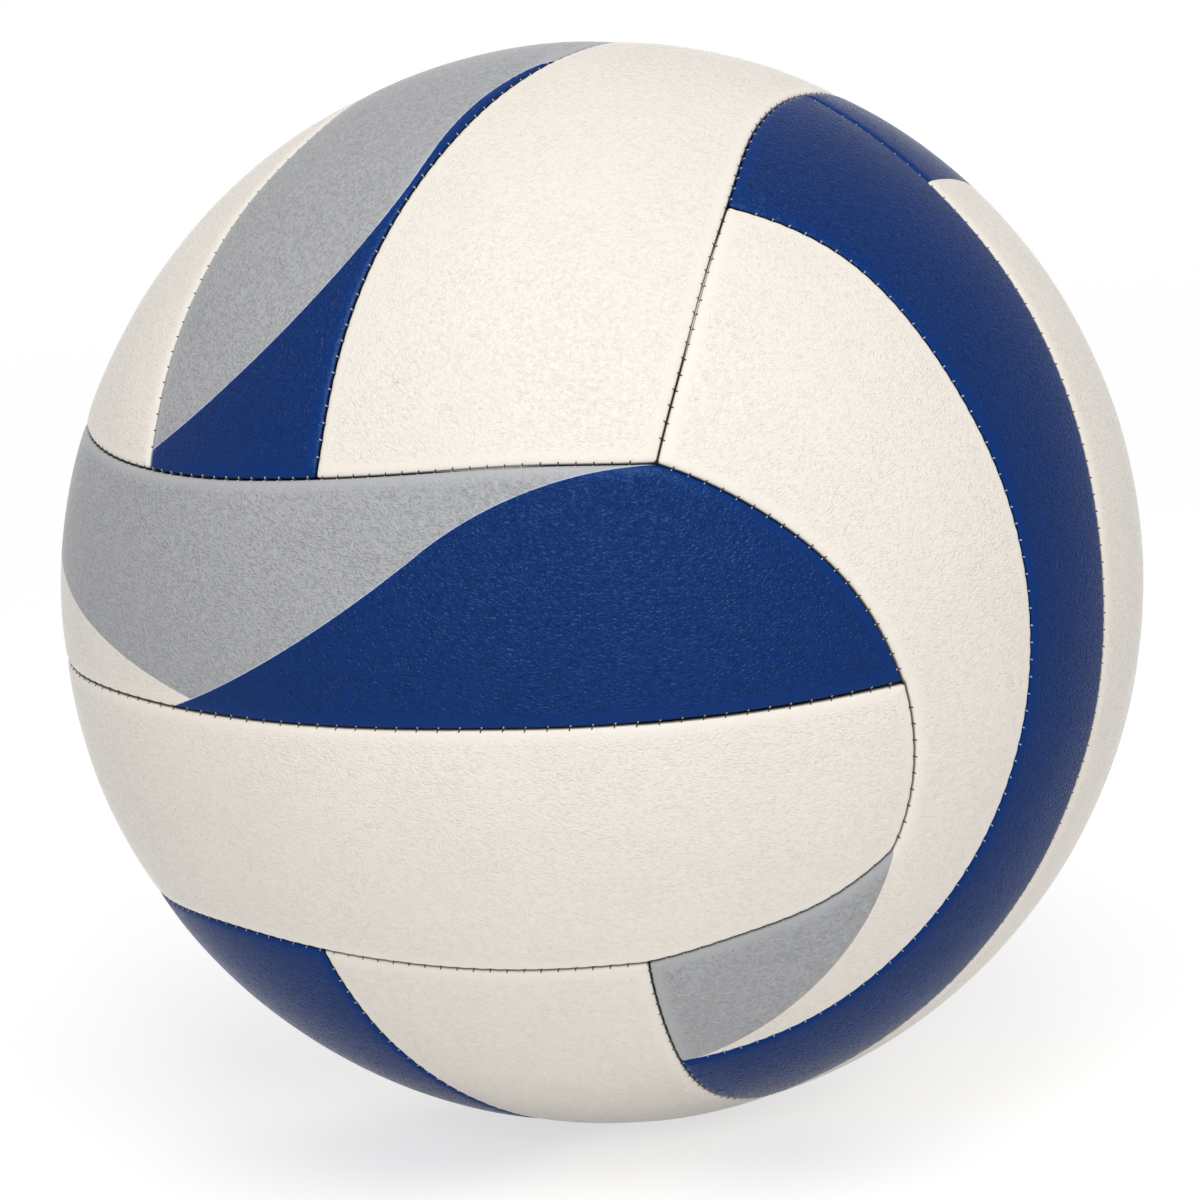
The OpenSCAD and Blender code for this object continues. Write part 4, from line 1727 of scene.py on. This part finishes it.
@dataclass
class Studio:
    """Camera, lamps, floor and background."""

    azimuth: float = 26.0
    elevation: float = 12.0
    roll: float = 4.0
    distance: float = 1.05
    focal: float = 161.8
    sensor: float = 36.0
    shift_right: float = -0.45 * MM
    shift_up: float = -3.45 * MM
    lamps: tuple[Lamp, ...] = (
        Lamp("key", 1.0, 1.02, -0.04, 0.9, 11.0, (1.0, 0.975, 0.95)),
        Lamp("front", 0.98, 0.20, 0.06, 0.2, 2.5, (1.0, 0.985, 0.97)),
    )
    room_tint: tuple[float, float, float] = (0.985, 0.98, 1.0)
    room_light: float = 0.52
    floor_side: float = 12.0
    floor_drop: float = 0.05 * MM
    floor_tone: float = 0.95
    shown_tone: float = 0.45
    shown_glow: float = 0.67
    white_from: float = 0.25
    white_until: float = 1.2

    def axes(self) -> tuple[Vector, Vector, Vector]:
        """Turns and leans the camera.

        Returns:
            Its right, up and backward directions.
        """
        back = Vector(toward(self.azimuth, self.elevation))
        turn = math.radians(self.azimuth)
        level = Vector((math.cos(turn), math.sin(turn), 0.0))
        above = back.cross(level)
        lean = math.radians(self.roll)
        right = level * math.cos(lean) - above * math.sin(lean)
        return right, level * math.sin(lean) + above * math.cos(lean), back

    def camera(self) -> None:
        """Sets the camera at the photograph's viewing angle."""
        data = bpy.data.cameras.new("camera")
        data.lens = self.focal
        data.sensor_width = self.sensor
        data.clip_start = 0.05
        data.clip_end = 60.0
        made = bpy.data.objects.new("camera", data)
        bpy.context.scene.collection.objects.link(made)
        right, up, back = self.axes()
        turned = Matrix((right, up, back)).transposed().to_4x4()
        spot = back * self.distance + right * self.shift_right + up * self.shift_up
        made.matrix_world = Matrix.Translation(spot) @ turned
        bpy.context.scene.camera = made

    def hang(self, lamp: Lamp) -> None:
        """Adds a lamp.

        Args:
            lamp: What it is and where it hangs.
        """
        right, up, back = self.axes()
        data = bpy.data.lights.new(lamp.name, "AREA")
        data.shape = "SQUARE"
        data.size = lamp.size
        data.energy = lamp.power
        data.color = lamp.colour
        made = bpy.data.objects.new(lamp.name, data)
        bpy.context.scene.collection.objects.link(made)
        aim = back * lamp.back + up * lamp.up + right * lamp.right
        place = aim.normalized() * lamp.distance
        made.matrix_world = Matrix.Translation(place) @ place.to_track_quat("Z", "Y").to_matrix().to_4x4()

    def world(self) -> None:
        """Lights the room evenly and shows it white."""
        world = bpy.data.worlds.new("room")
        bpy.context.scene.world = world
        graph = Graph(world)
        soft = self._all_round(graph, self.room_tint, self.room_light)
        white = self._all_round(graph, WHITE_LIGHT, 1.0)
        graph.finish(graph.layered(graph.seen(), soft, white))

    def floor(self) -> None:
        """Lays a plain pale floor that keeps the ball's shadow and reads white elsewhere."""
        graph = Graph.named("studio_floor")
        place = graph.place()
        far = graph.vectors("LENGTH", place, (0, 0, 0), "Value").ramp(self.white_from, self.white_until)
        speck = 0.99 + graph.clouds(place, 400.0, 3.0) * 0.02
        seen = graph.seen()
        paper = self._paper(graph, self.floor_tone, speck)
        faint = self._paper(graph, self.shown_tone, speck)
        glow = self._glow(graph, self.shown_glow)
        lit = graph.node("ShaderNodeAddShader", {}, {0: faint, 1: glow}, "Shader")
        near = graph.layered(seen, paper, lit)
        material = graph.finish(graph.layered(far * seen, near, self._glow(graph, 1.0)))
        side = self.floor_side
        corners = np.array([(-side, -side, 0.0), (side, -side, 0.0), (side, side, 0.0), (-side, side, 0.0)])
        made = linked("floor", mesh_of("floor", corners, [(0, 1, 2, 3)]), material, False)
        made.location = (0.0, 0.0, CAD_BOX[0].z - self.floor_drop)

    @staticmethod
    def _paper(graph: Graph, tone: float, speck: Value) -> Value:
        """A matt grey shader, finely specked."""
        colour = graph.shaded(graph.plain((tone, tone, tone)), speck)
        return graph.node("ShaderNodeBsdfDiffuse", {}, {"Color": colour}, "BSDF")

    @staticmethod
    def _glow(graph: Graph, strength: float) -> Value:
        """A shader that gives white light."""
        sockets = {"Color": (*WHITE_LIGHT, 1.0), "Strength": strength}
        return graph.node("ShaderNodeEmission", {}, sockets, "Emission")

    @staticmethod
    def _all_round(graph: Graph, tint: tuple[float, float, float], strength: float) -> Value:
        """A shader that gives even light from all round."""
        sockets = {"Color": (*tint, 1.0), "Strength": strength}
        return graph.node("ShaderNodeBackground", {}, sockets, "Background")

    def build(self) -> None:
        """Sets up the whole studio."""
        bpy.context.scene.view_settings.view_transform = "Standard"
        self.camera()
        for lamp in self.lamps:
            self.hang(lamp)
        self.world()
        self.floor()


def main() -> None:
    """Builds the ball and its studio."""
    logging.basicConfig(level=logging.INFO, format="%(message)s")
    Studio().build()
    cover = Cover()
    panels = cover.panels()
    pieces = [panel.build(cover.leather) for panel in panels]
    pieces += Stitches(panels, cover.plan.runs()).build()
    pieces += Valve().build()
    for piece in pieces:
        LOG.info("%s: %d faces", piece.name, len(piece.data.polygons))
    Inside().dress()


if __name__ == "__main__":
    main()
